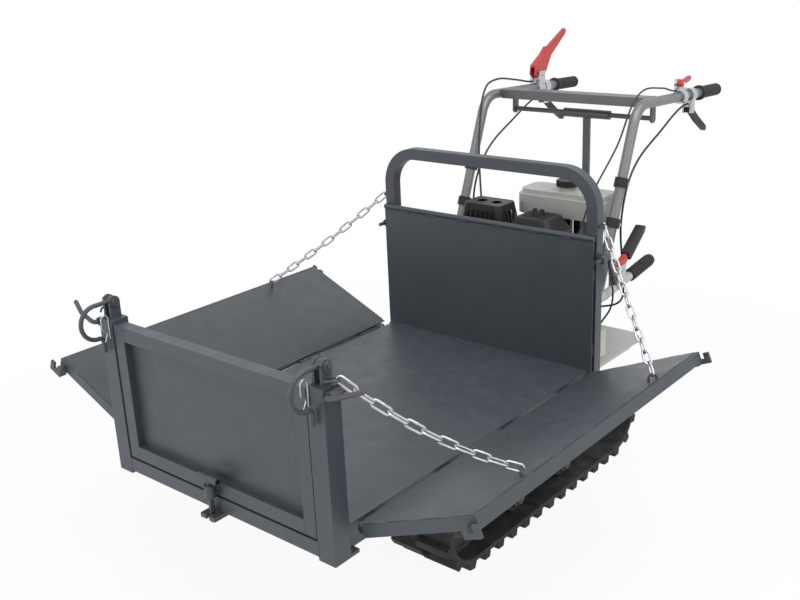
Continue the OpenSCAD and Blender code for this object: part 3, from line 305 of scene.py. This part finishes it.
finishes = {
    "slatePowder": dict(color=(0.050, 0.061, 0.073), rough=0.43, vary=0.035, patch=5, grain=620, depth=0.00015,
                        strength=0.40, edge=0.0016, wear=0.30, dust=0.05),
    "silverPaint": dict(color=(0.50, 0.50, 0.48), rough=0.42, vary=0.06, grain=500, edge=0.0015, wear=0.25, dust=0.08),
    "tubeGrey": dict(color=(0.20, 0.205, 0.21), rough=0.36, metal=0.45, vary=0.06, grain=420, strength=0.3,
                     edge=0.001, wear=0.2),
    "wheelIron": dict(color=(0.075, 0.075, 0.078), rough=0.50, metal=0.3, vary=0.15, grain=300, strength=0.5,
                      edge=0.0014, wear=0.4, dust=0.15),
    "plateGrey": dict(color=(0.105, 0.108, 0.112), rough=0.42, metal=0.2, vary=0.06, grain=520, strength=0.3,
                      wear=0.25),
    "leverSteel": dict(color=(0.055, 0.058, 0.064), rough=0.48, vary=0.15, grain=520, strength=0.4, edge=0.001,
                       wear=0.5),
    "trackRubber": dict(color=(0.020, 0.020, 0.021), rough=0.78, vary=0.25, grain=260, grainDetail=6, strength=0.5,
                        depth=0.0005, edge=0.002, dust=0.16),
    "gripRubber": dict(color=(0.022, 0.022, 0.024), rough=0.60, grain=900, strength=0.5, edge=0.0008),
    "blackPlastic": dict(color=(0.018, 0.018, 0.020), rough=0.46, specular=0.3, vary=0.10, grain=800, strength=0.45),
    "cableJacket": dict(color=(0.016, 0.016, 0.017), rough=0.40, vary=0.08, grain=900, strength=0.25, edge=0.0004),
    "engineBlack": dict(color=(0.022, 0.022, 0.024), rough=0.45, specular=0.3, metal=0.2, vary=0.14, grain=380,
                        strength=0.4, edge=0.0014, wear=0.3),
    "blackMetal": dict(color=(0.015, 0.015, 0.017), rough=0.42, specular=0.35, grain=520, wear=0.25),
    "castAlloy": dict(color=(0.34, 0.34, 0.34), rough=0.46, metal=0.6, vary=0.10, grain=300, strength=0.6,
                      depth=0.0003, edge=0.0014),
    "redPlastic": dict(color=(0.50, 0.020, 0.024), rough=0.34, vary=0.06, strength=0.2, edge=0.0014, coat=0.25),
    "zincPlate": dict(color=(0.50, 0.51, 0.53), rough=0.30, metal=1.0, vary=0.08, patch=60, grain=260, strength=0.2,
                      edge=0.0006),
    "tankPlastic": dict(color=(0.42, 0.42, 0.40), rough=0.38, vary=0.05, grain=500, strength=0.2, edge=0.0018),
}
paint = {name: makeFinish(name, look) for name, look in finishes.items()}

nodeFinish = {
    "slatePowder": "bed_floor left_post right_post headboard hoop left_board right_board gate gate_keeper belt_guard "
                   "left_c_lever right_c_lever",
    "silverPaint": "main_frame tip_handle",
    "tubeGrey": "left_handle right_handle",
    "wheelIron": "left_beam right_beam left_sprocket right_sprocket left_idler right_idler left_roller_1 left_roller_2 "
                 "right_roller_1 right_roller_2",
    "castAlloy": "gearbox",
    "plateGrey": "cross_plate gear_lever",
    "leverSteel": "gate_latch lock_front_left lock_front_right lock_rear_left lock_rear_right",
    "trackRubber": "left_track right_track drive_belt",
    "gripRubber": "left_grip right_grip tip_grip",
    "blackPlastic": "air_filter fuel_cap left_steer_lever right_steer_lever tube_clamps control_cables tip_cable",
    "engineBlack": "engine_block",
    "blackMetal": "muffler_guard",
    "redPlastic": "clutch_lever throttle_lever tip_lever",
    "zincPlate": "left_chains right_chains tip_shaft bed_pins engine_pulley gearbox_pulley control_mounts",
    "tankPlastic": "fuel_tank",
}


def dress(name, material):
    part = nodes[name]
    if not part.material_slots:
        part.data.materials.append(material)
    for holder in part.material_slots:
        holder.material = material


for finishName, members in nodeFinish.items():
    for member in members.split():
        dress(member, paint[finishName])
print("finishes on", sum(len(m.split()) for m in nodeFinish.values()), "nodes")


# pieces made here, with their measures in millimetres in the bed's frame
def placePiece(name, mesh, finish, body=None):
    mesh.materials.append(paint[finish])
    piece = bpy.data.objects.new(name, mesh)
    scene.collection.objects.link(piece)
    if body:
        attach(piece, body)
    return piece


def finishPiece(name, bm, finish, body=None, crease=35):
    bmesh.ops.recalc_face_normals(bm, faces=bm.faces)
    for face in bm.faces:
        face.smooth = True
    mesh = bpy.data.meshes.new(name)
    bm.to_mesh(mesh)
    bm.free()
    mesh.set_sharp_from_angle(angle=math.radians(crease))
    return placePiece(name, mesh, finish, body)


def addedVerts(bm, before):
    return [v for v in bm.verts if v not in before]


def edgesOf(geom):
    return [g for g in geom if isinstance(g, bmesh.types.BMEdge)]


def vertsOf(geom):
    return [g for g in geom if isinstance(g, bmesh.types.BMVert)]


def edgesAround(verts):
    return list(dict.fromkeys(e for v in verts for e in v.link_edges))


def roundEdges(bm, edges, radius, steps):
    bmesh.ops.bevel(bm, geom=edges, offset=radius*mm, segments=steps, profile=0.5, affect="EDGES", material=-1)


def addCone(bm, place, segments, low, high, tall):
    bmesh.ops.create_cone(bm, cap_ends=True, segments=segments, radius1=low*mm, radius2=high*mm, depth=tall*mm,
                          matrix=place)


# pieces in pairs are shaped on the right
def mirrorLeft(bm, sideName):
    if sideName == "left":
        bmesh.ops.scale(bm, vec=(-1, 1, 1), verts=bm.verts)


# the four board chains: oval links of round wire, welded in one leg
chains = dict(
    wire=5.0, wireSides=10, halfWidth=7.5, step=5.3, bendSteps=9, weldSwell=1.14, weldReach=(0.22, 0.08),
    staple=(298, 29),
    front=dict(top=(354, 30, 322), foot=229, links=11, sag=22),
    rear=dict(top=(354, 986, 378), foot=754, links=13, sag=8))


def addLink(bm, start, end, turned, look):
    before = set(bm.verts)
    along = end - start
    side = look["halfWidth"]*mm
    half = (along.length + look["step"])*mm/2 - side
    ring = bmesh.ops.create_circle(bm, segments=look["wireSides"], radius=look["wire"]*mm/2)["verts"]
    bmesh.ops.translate(bm, verts=ring, vec=(side, 0, half))
    firstEdges = edgesAround(ring)

    def bend(geom, height):
        return bmesh.ops.spin(bm, geom=geom, cent=(0, 0, height), axis=(0, -1, 0), angle=math.pi,
                              steps=look["bendSteps"])["geom_last"]

    # over the top, down the welded leg, and back round the lower end
    last = bend(ring + firstEdges, half)
    outer, inner = (share*half for share in look["weldReach"])
    swell = look["weldSwell"]
    for level, growth in ((outer, 1), (inner, swell), (-inner, 1), (-outer, 1/swell), (-half, 1)):
        made = bmesh.ops.extrude_edge_only(bm, edges=edgesOf(last))["geom"]
        leg = vertsOf(made)
        middle = sum((v.co for v in leg), Vector())/len(leg)
        spot = Vector((middle.x, middle.y, level))
        grow = Matrix.Translation(spot) @ Matrix.Diagonal((growth, growth, 1, 1)) @ Matrix.Translation(-middle)
        bmesh.ops.transform(bm, matrix=grow, verts=leg)
        last = leg + [e for e in edgesOf(made) if e.verts[0] in leg and e.verts[1] in leg]
    last = bend(last, -half)
    bmesh.ops.bridge_loops(bm, edges=edgesOf(last) + firstEdges)
    heading = Matrix.Rotation(math.atan2(along.y, along.x), 4, "Z")
    lean = Matrix.Rotation(math.acos(along.z/along.length), 4, "Y")
    turn = heading @ lean @ Matrix.Rotation(math.radians(turned), 4, "Z")
    place = Matrix.Translation(bedPoint(*((start + end)/2)))
    bmesh.ops.transform(bm, matrix=place @ turn, verts=addedVerts(bm, before))


def makeChain(sideName, endName, look):
    run = look[endName]
    top = Vector(run["top"])
    foot = boardPoint(look["staple"][0], run["foot"], look["staple"][1])
    span = (foot - top).length
    length = span*(1 + 8/3*(run["sag"]/span)**2)  # of a flat parabola

    def hang(t):
        return top + (foot - top)*t - Vector((0, 0, 4*run["sag"]*t*(1 - t)))

    # each end link reaches half a step past the staple that it hangs on
    count = run["links"]
    over = look["step"]/length
    spots = [hang(i/count*(1 + over) - over/2) for i in range(count + 1)]
    bm = bmesh.new()
    for i in range(count):
        addLink(bm, spots[i], spots[i + 1], 90*(i % 2), look)
    mirrorLeft(bm, sideName)
    piece = finishPiece(f"{sideName}{endName.capitalize()}Chain", bm, "zincPlate")
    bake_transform(piece)
    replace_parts(piece, f"{sideName}_chains")


for sideName in ("left", "right"):
    for endName in ("front", "rear"):
        makeChain(sideName, endName, chains)
print("chains hung")

# control cables, along the same points as the solids
cables = dict(finish="cableJacket", parts=9, roundness=3, clutchAt=285, throttleAt=262, steerAt=322,
              guardX=-160, guardTop=164)


def smoothRoute(points, parts):
    points = [Vector(p) for p in points]
    last = len(points) - 1

    def tangent(i):
        ahead = (points[min(i + 1, last)] - points[i]).normalized()
        behind = (points[i] - points[max(i - 1, 0)]).normalized()
        return (ahead + behind).normalized()

    route = []
    for i in range(last):
        a, b = points[i], points[i + 1]
        length = (b - a).length
        for j in range(parts):
            t = j/parts
            leaving = (1 + 2*t)*a + t*length*tangent(i)
            arriving = (3 - 2*t)*b - (1 - t)*length*tangent(i + 1)
            route.append((1 - t)**2*leaving + t*t*arriving)
    return route + [points[last]]


def makeCable(name, thick, points, body, node):
    route = smoothRoute(points, cables["parts"])
    line = bpy.data.curves.new(name, "CURVE")
    line.dimensions = "3D"
    path = line.splines.new("POLY")
    path.points.add(len(route) - 1)
    for knot, spot in zip(path.points, route):
        knot.co = (*bedPoint(*spot), 1)
    line.bevel_depth, line.bevel_resolution, line.use_fill_caps = thick*mm/2, cables["roundness"], True
    holder = bpy.data.objects.new(name, line)
    scene.collection.objects.link(holder)
    mesh = bpy.data.meshes.new_from_object(holder.evaluated_get(bpy.context.evaluated_depsgraph_get()))
    bpy.data.objects.remove(holder)
    mesh.materials.clear()
    for face in mesh.polygons:
        face.use_smooth = True
    piece = placePiece(name, mesh, cables["finish"], body)
    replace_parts(piece, node)


def steerRoute(side):
    return [
        *(onHandle(side, cables["steerAt"] + back, up) for back, up in ((-13, -26), (-27, -26), (-170, -84))),
        (side*(handleX - 2), bendY - 14, bendZ - 178), (side*handleX, bendY - 72, bendZ - 300),
        (side*(handleX - 12), deckEnd - 60, 150), (side*(handleX - 40), deckEnd - 20, 50),
        (side*110, deckEnd - 22, 10), (side*72, deckEnd - 27, -18), (side*70, deckEnd - 27, -41.7)]


clutchRoute = [
    *(onHandle(-1, cables["clutchAt"] + back, up) for back, up in ((-31, 21), (-44, 21), (-130, 34))),
    (-handleX - 2, bendY + 60, bendZ + 40), (-handleX + 4, bendY - 6, bendZ + 24),
    onEngine(-230, 82, 400), onEngine(-196, 40, 210), onEngine(-162, 2, 90),
    (cables["guardX"], crankY, cables["guardTop"] + 20), (cables["guardX"], crankY, cables["guardTop"] + 0.3)]
throttleRoute = [
    *(onHandle(1, cables["throttleAt"] + back, up) for back, up in ((-31, 20), (-44, 20), (-120, 34))),
    (handleX - 4, bendY + 10, bendZ + 26), onEngine(226, 78, 410), onEngine(206, -20, 290), onEngine(186, -50, 192),
    onEngine(162, -96, 134), onEngine(112, -120, 100), onEngine(74, -112, 82), onEngine(70, -95.3, 80)]
tipRoute = [(tipX + x, tipY + y, tipZ + z) for x, y, z in (
    (0, 109, 56), (0, 97, 56), (6, 80, 54), (24, 64, 16), (24, 54, -26), (12, 32, -58), (7, 25, -70), (7, 25, -79.7))]

makeCable("clutchCable", 6, clutchRoute, "chassis", "control_cables")
makeCable("leftSteerCable", 6, steerRoute(-1), "chassis", "control_cables")
makeCable("rightSteerCable", 6, steerRoute(1), "chassis", "control_cables")
makeCable("throttleCable", 5, throttleRoute, "chassis", "control_cables")
makeCable("tipCable", 5, tipRoute, "bed", "tip_cable")
print("cables laid")

# black sleeve over the blade of the tip lever, its outline in y and z from the lever's pin
sleeve = dict(pin=(tipX, tipY + 131, tipZ + 54), half=12.2, edge=2.6, edgeSteps=3,
              outline=[(48.5, 14), (125.6, 72.7), (131.5, 89.5), (115, 93.5), (36, 36.6)])


def makeSleeve(look):
    bm = bmesh.new()
    pinX, pinY, pinZ = look["pin"]
    corners = [bm.verts.new(bedPoint(pinX - look["half"], pinY + y, pinZ + z)) for y, z in look["outline"]]
    made = bmesh.ops.extrude_face_region(bm, geom=[bm.faces.new(corners)])["geom"]
    bmesh.ops.translate(bm, verts=vertsOf(made), vec=(2*look["half"]*mm, 0, 0))
    roundEdges(bm, bm.edges[:], look["edge"], look["edgeSteps"])
    finishPiece("tipLeverSleeve", bm, "blackPlastic", "tip_lever", crease=60)


makeSleeve(sleeve)

# bolts: hex heads on washers, in shares of the width across flats
boltShape = dict(
    washer=dict(segments=20, low=1, high=0.96, tall=0.18, middle=0.06), onWasher=0.13,
    head=dict(segments=6, low=0.577, high=0.577, tall=0.5, middle=0.25),
    crown=dict(segments=24, low=0.54, high=0.44, tall=0.09, middle=0.53))


# the axis points away from what the bolt clamps
def addBolt(bm, spot, axis, across, washer=True):
    turn = Vector(axis).to_track_quat("Z", "Y").to_matrix().to_4x4()
    base = Matrix.Translation(bedPoint(*spot)) @ turn
    rise = boltShape["onWasher"] if washer else 0
    stack = [("washer", 0)] if washer else []
    for name, lift in stack + [("head", rise), ("crown", rise)]:
        part = boltShape[name]
        place = base @ Matrix.Translation((0, 0, (lift + part["middle"])*across*mm))
        addCone(bm, place, part["segments"], part["low"]*across, part["high"]*across, part["tall"]*across)


# each row: spot, axis, width across flats
bolts = dict(
    engineFeet=[((x, crankY + y, deckZ + 24), (0, 0, 1), 9) for x in (-109, 109) for y in (-66, 66)],
    guardFeet=[((-162, crankY + y, deckZ + 4.3), (0, 0, 1), 11) for y in (-82, 82)],
    fanHousing=[((160, crankY + 118.5*math.cos(a), crankZ + 118.5*math.sin(a)), (1, 0, 0), 6.5)
                for a in (math.radians(d) for d in (40, 140, 220, 320))],
    sockets=[((side*(handleX + 21), *onTube(side, 30, 0)[1:]), (side, 0, 0), 11) for side in (-1, 1)],
    tubeClamps=[((side*handleX + t*7, *onTube(side, up, 21)[1:]), (t, 0, 0), 8)
                for side, up in ((-1, 390), (-1, 500), (1, 390), (1, 500)) for t in (-1, 1)])
hubBolts = dict(x=212, y=1225, z=-256, circle=23, count=6, across=8)


def makeBolts(rows, hubs):
    bm = bmesh.new()
    for row in rows.values():
        for spot, axis, across in row:
            addBolt(bm, spot, axis, across)
    finishPiece("chassisBolts", bm, "zincPlate", "chassis", crease=25)
    for side, sideName in ((-1, "left"), (1, "right")):
        hub = bmesh.new()
        for i in range(hubs["count"]):
            a = 2*math.pi*i/hubs["count"]
            spot = (side*hubs["x"], hubs["y"] + hubs["circle"]*math.cos(a), hubs["z"] + hubs["circle"]*math.sin(a))
            addBolt(hub, spot, (side, 0, 0), hubs["across"], washer=False)
        finishPiece(f"{sideName}HubBolts", hub, "zincPlate", f"{sideName}_sprocket", crease=25)


makeBolts(bolts, hubBolts)

# weld beads: overlapping drops along a joint
bead = dict(step=0.45, around=8, rings=5)


def addBead(bm, start, end, wide, high, facing):
    start, end, facing = Vector(start), Vector(end), Vector(facing).normalized()
    along = (end - start).normalized()
    turn = Matrix((along, facing.cross(along), facing)).transposed().to_4x4()
    shape = Matrix.Diagonal((wide*bead["step"]*mm, wide/2*mm, high*mm, 1))
    drops = max(2, round((end - start).length/(wide*bead["step"])))
    for i in range(drops + 1):
        place = Matrix.Translation(bedPoint(*start.lerp(end, i/drops)))
        bmesh.ops.create_uvsphere(bm, u_segments=bead["around"], v_segments=bead["rings"], radius=1,
                                  matrix=place @ turn @ shape)


# each row: start, end, width, height, facing
bedWelds = dict(
    headStitches=[((x - 13, 963.4, 343.6), (x + 13, 963.4, 343.6), 6, 2.6, (0, -0.8, -0.6))
                  for x in (-262, -168, -64, 48, 158, 262)],
    sill=[((s*296, 0.4, -52), (s*296, 0.4, -22), 5, 1.4, (0, -1, 0)) for s in (-1, 1)],
    shoe=[((s*338, 0.4, -53), (s*298, 0.4, -53), 5, 1.2, (0, -1, 0)) for s in (-1, 1)],
    ears=[((s*318 + x, 8, 308.4), (s*318 + x, 36, 308.4), 5, 2.0, (-0.6, 0, 0.8)) for s in (-1, 1) for x in (-15, 5)])
gateWelds = dict(
    corners=[((s*260, 2.3, z), (s*260, 2.3, z + 30), 4.5, 0.9, (0, -1, 0)) for s in (-1, 1) for z in (-16, 269)])
handleWelds = dict(
    cross=[((s*237, 1407, 626.6), (s*237, 1470, 624), 7, 3.0, (-s*0.5, 0, 0.87)) for s in (-1, 1)])


def makeWelds(name, rows, finish, body):
    bm = bmesh.new()
    for row in rows.values():
        for weld in row:
            addBead(bm, *weld)
    finishPiece(name, bm, finish, body, crease=80)


makeWelds("bedWelds", bedWelds, "slatePowder", "bed")
makeWelds("gateWelds", gateWelds, "slatePowder", "gate")
makeWelds("handleWelds", handleWelds, "tubeGrey", "chassis")
print("sleeve, bolts and welds on")

# flat sheets over the side boards, held to their rails by short welds along the outer edge and the ends
boardSheets = dict(
    u=(3, 304), y=(62, 946), n=(12.6, 14.6), edge=0.5, edgeSteps=2,
    welds=dict(long=30, wide=5, high=1.5, level=13.2, out=0.6, alongEdge=8, acrossEnds=3, endStart=24, endSpare=40))


def addBlock(bm, low, high, edge, steps):
    before = set(bm.verts)
    low, high = Vector(low), Vector(high)
    made = bmesh.ops.create_cube(bm, size=1)["verts"]
    bmesh.ops.scale(bm, vec=(high - low)*mm, verts=made)
    roundEdges(bm, edgesAround(made), edge, steps)
    bmesh.ops.translate(bm, vec=(low + high)/2*mm, verts=addedVerts(bm, before))


def makeBoardSheet(sideName, look):
    (u0, u1), (y0, y1), (n0, n1) = look["u"], look["y"], look["n"]
    welds = look["welds"]
    bm = bmesh.new()
    addBlock(bm, (u0, y0, n0), (u1, y1, n1), look["edge"], look["edgeSteps"])
    turn = Matrix.Rotation(-boardFlare, 4, "Y")
    bmesh.ops.transform(bm, matrix=Matrix.Translation(bedPoint(hingeX, 0, hingeZ)) @ turn, verts=bm.verts)
    up = turn.to_3x3() @ Vector((0, 0, 1))
    half, level, out = welds["long"]/2, welds["level"], welds["out"]

    def stitch(start, end):
        addBead(bm, boardPoint(*start, level), boardPoint(*end, level), welds["wide"], welds["high"], up)

    for i in range(welds["alongEdge"]):
        y = y0 + (i + 0.5)*(y1 - y0)/welds["alongEdge"]
        stitch((u1 + out, y - half), (u1 + out, y + half))
    for i in range(welds["acrossEnds"]):
        u = u0 + welds["endStart"] + (i + 0.5)*(u1 - u0 - welds["endSpare"])/welds["acrossEnds"]
        for y in (y0 - out, y1 + out):
            stitch((u - half, y), (u + half, y))
    mirrorLeft(bm, sideName)
    finishPiece(f"{sideName}BoardSheet", bm, "slatePowder", f"{sideName}_board")


for sideName in ("left", "right"):
    makeBoardSheet(sideName, boardSheets)
print("board sheets in")

# tapered boxes on the engine: low and high are the sizes at the foot and at the top
taperSteps = dict(corner=5, edge=3)


def addTaper(bm, foot, look):
    before = set(bm.verts)
    low, high, tall = look["low"], look["high"], look["tall"]*mm
    base = bmesh.ops.create_grid(bm, x_segments=1, y_segments=1, size=0.5)["verts"]
    bmesh.ops.scale(bm, vec=(low[0]*mm, low[1]*mm, 1), verts=base)
    top = vertsOf(bmesh.ops.extrude_face_region(bm, geom=[base[0].link_faces[0]])["geom"])
    bmesh.ops.translate(bm, verts=top, vec=(0, 0, tall))
    bmesh.ops.scale(bm, vec=(high[0]/low[0], high[1]/low[1], 1), verts=top)
    upright = [e for v in top for e in v.link_edges if e.other_vert(v) in base]
    roundEdges(bm, upright, look["corner"], taperSteps["corner"])
    if look["edge"]:
        rim = [e for e in edgesAround(addedVerts(bm, before)) if all(abs(v.co.z - tall) < tiny for v in e.verts)]
        roundEdges(bm, rim, look["edge"], taperSteps["edge"])
    bmesh.ops.translate(bm, verts=addedVerts(bm, before), vec=foot)


def addNeck(bm, look):
    low, high = look["z"]
    place = Matrix.Translation(bedPoint(*look["at"], (low + high)/2))
    addCone(bm, place, look["segments"], look["radius"], look["radius"], high - low)


# air filter: rounded body, rim, sloping lid with ribs, wing nut and the neck to the carburettor
airFilter = dict(
    middle=(74, 1129), sink=0.5,
    body=dict(foot=258, low=(128, 106), high=(142, 120), tall=40, corner=20, edge=0),
    rim=dict(foot=296, low=(148, 126), high=(148, 126), tall=9, corner=20, edge=2.5),
    lid=dict(foot=304, low=(142, 120), high=(104, 92), tall=36, corner=20, edge=5),
    rib=dict(low=(74, 5), high=(71, 3), tall=3.1, corner=1, edge=0, step=16, count=4),
    nut=dict(low=17, high=15.3, tall=9, segments=28),
    wing=dict(low=(18, 5), high=(12.6, 4), tall=12, corner=1.5, edge=1.5, out=11, sink=2),
    neck=dict(at=(70, 1129), radius=22, segments=28, z=(208.3, 262)))


def makeAirFilter(look):
    bm = bmesh.new()
    x, y = look["middle"]
    rib, nut, wing = look["rib"], look["nut"], look["wing"]
    for shell in (look["body"], look["rim"], look["lid"]):
        addTaper(bm, bedPoint(x, y, shell["foot"]), shell)
    lidTop = look["lid"]["foot"] + look["lid"]["tall"]
    seat = lidTop - look["sink"]
    for i in range(rib["count"]):
        across = (i - (rib["count"] - 1)/2)*rib["step"]
        addTaper(bm, bedPoint(x, y + across, seat), rib)
    nutPlace = Matrix.Translation(bedPoint(x, y, seat + nut["tall"]/2))
    addCone(bm, nutPlace, nut["segments"], nut["low"], nut["high"], nut["tall"])
    for side in (-1, 1):
        addTaper(bm, bedPoint(x + side*wing["out"], y, lidTop + nut["tall"] - wing["sink"]), wing)
    addNeck(bm, look["neck"])
    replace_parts(finishPiece("airFilter", bm, "blackPlastic", "chassis"), "air_filter")


makeAirFilter(airFilter)

# sheet cover of the muffler: slots all round, two round holes in its top, the muffler showing inside
mufflerGuard = dict(
    middle=(-93, 1136), foot=254, low=(158, 116), high=(124, 84), tall=104, corner=16, edge=0, wall=1.6,
    slot=dict(z=(30, 84), wide=8, step=16), hole=dict(x=(-25, 25), radius=15, segments=24), levelNormal=0.9,
    muffler=dict(foot=258, low=(120, 80), high=(104, 66), tall=78, corner=14, edge=8),
    neck=dict(at=(-103, 1136), radius=17, segments=28, z=(208.3, 262)),
    outlet=dict(at=(-165, 1136, 288), radius=13, segments=24, long=22))


def makeMufflerGuard(look):
    bm = bmesh.new()
    tall, slot, hole = look["tall"]*mm, look["slot"], look["hole"]
    addTaper(bm, Vector(), look)

    def slotMiddles(axis):
        reach = look["high"][axis]/2 - look["corner"]
        count = int((2*reach + slot["step"] - slot["wide"])//slot["step"])
        return [(i - (count - 1)/2)*slot["step"] for i in range(count)]

    def cut(axis, at):
        normal = Vector([float(i == axis) for i in range(3)])
        bmesh.ops.bisect_plane(bm, geom=bm.verts[:] + bm.edges[:] + bm.faces[:], plane_co=normal*at*mm, plane_no=normal)

    def inSlot(face):
        spot = face.calc_center_median()/mm
        axis = 0 if abs(face.normal.y) > abs(face.normal.x) else 1
        beside = any(abs(spot[axis] - middle) < slot["wide"]/2 for middle in slotMiddles(axis))
        return beside and slot["z"][0] < spot.z < slot["z"][1]

    for z in slot["z"]:
        cut(2, z)
    for axis in (0, 1):
        for middle in slotMiddles(axis):
            for side in (-1, 1):
                cut(axis, middle + side*slot["wide"]/2)
    bm.normal_update()
    unwanted = [f for f in bm.faces if abs(f.normal.z) > look["levelNormal"] or inSlot(f)]
    bmesh.ops.delete(bm, geom=unwanted, context="FACES")
    # the top again, as one sheet round its two holes
    edges = [e for e in bm.edges if e.is_boundary and all(abs(v.co.z - tall) < tiny for v in e.verts)]
    for x in hole["x"]:
        ring = bmesh.ops.create_circle(bm, segments=hole["segments"], radius=hole["radius"]*mm,
                                       matrix=Matrix.Translation((x*mm, 0, tall)))["verts"]
        edges += edgesAround(ring)
    bmesh.ops.triangle_fill(bm, use_beauty=True, use_dissolve=False, edges=edges)
    bmesh.ops.recalc_face_normals(bm, faces=bm.faces)
    bmesh.ops.solidify(bm, geom=bm.faces[:], thickness=look["wall"]*mm)
    bmesh.ops.translate(bm, verts=bm.verts, vec=bedPoint(*look["middle"], look["foot"]))
    addTaper(bm, bedPoint(*look["middle"], look["muffler"]["foot"]), look["muffler"])
    addNeck(bm, look["neck"])
    outlet = look["outlet"]
    x, y, z = outlet["at"]
    place = Matrix.Translation(bedPoint(x - outlet["long"]/2, y, z)) @ Matrix.Rotation(math.pi/2, 4, "Y")
    addCone(bm, place, outlet["segments"], outlet["radius"], outlet["radius"], outlet["long"])
    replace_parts(finishPiece("mufflerGuard", bm, "blackMetal", "chassis"), "muffler_guard")


makeMufflerGuard(mufflerGuard)
print("air filter and muffler guard made")

# pressed edges of the fuel tank
tankEdges = dict(merge=0.02, radius=9, steps=4, angle=40)
joined = nodes["fuel_tank"].modifiers.new("joined", "WELD")
joined.merge_threshold = tankEdges["merge"]*mm
pressed = nodes["fuel_tank"].modifiers.new("pressed", "BEVEL")
pressed.width, pressed.segments, pressed.limit_method = tankEdges["radius"]*mm, tankEdges["steps"], "ANGLE"
pressed.angle_limit = math.radians(tankEdges["angle"])
print("tank edges rounded")
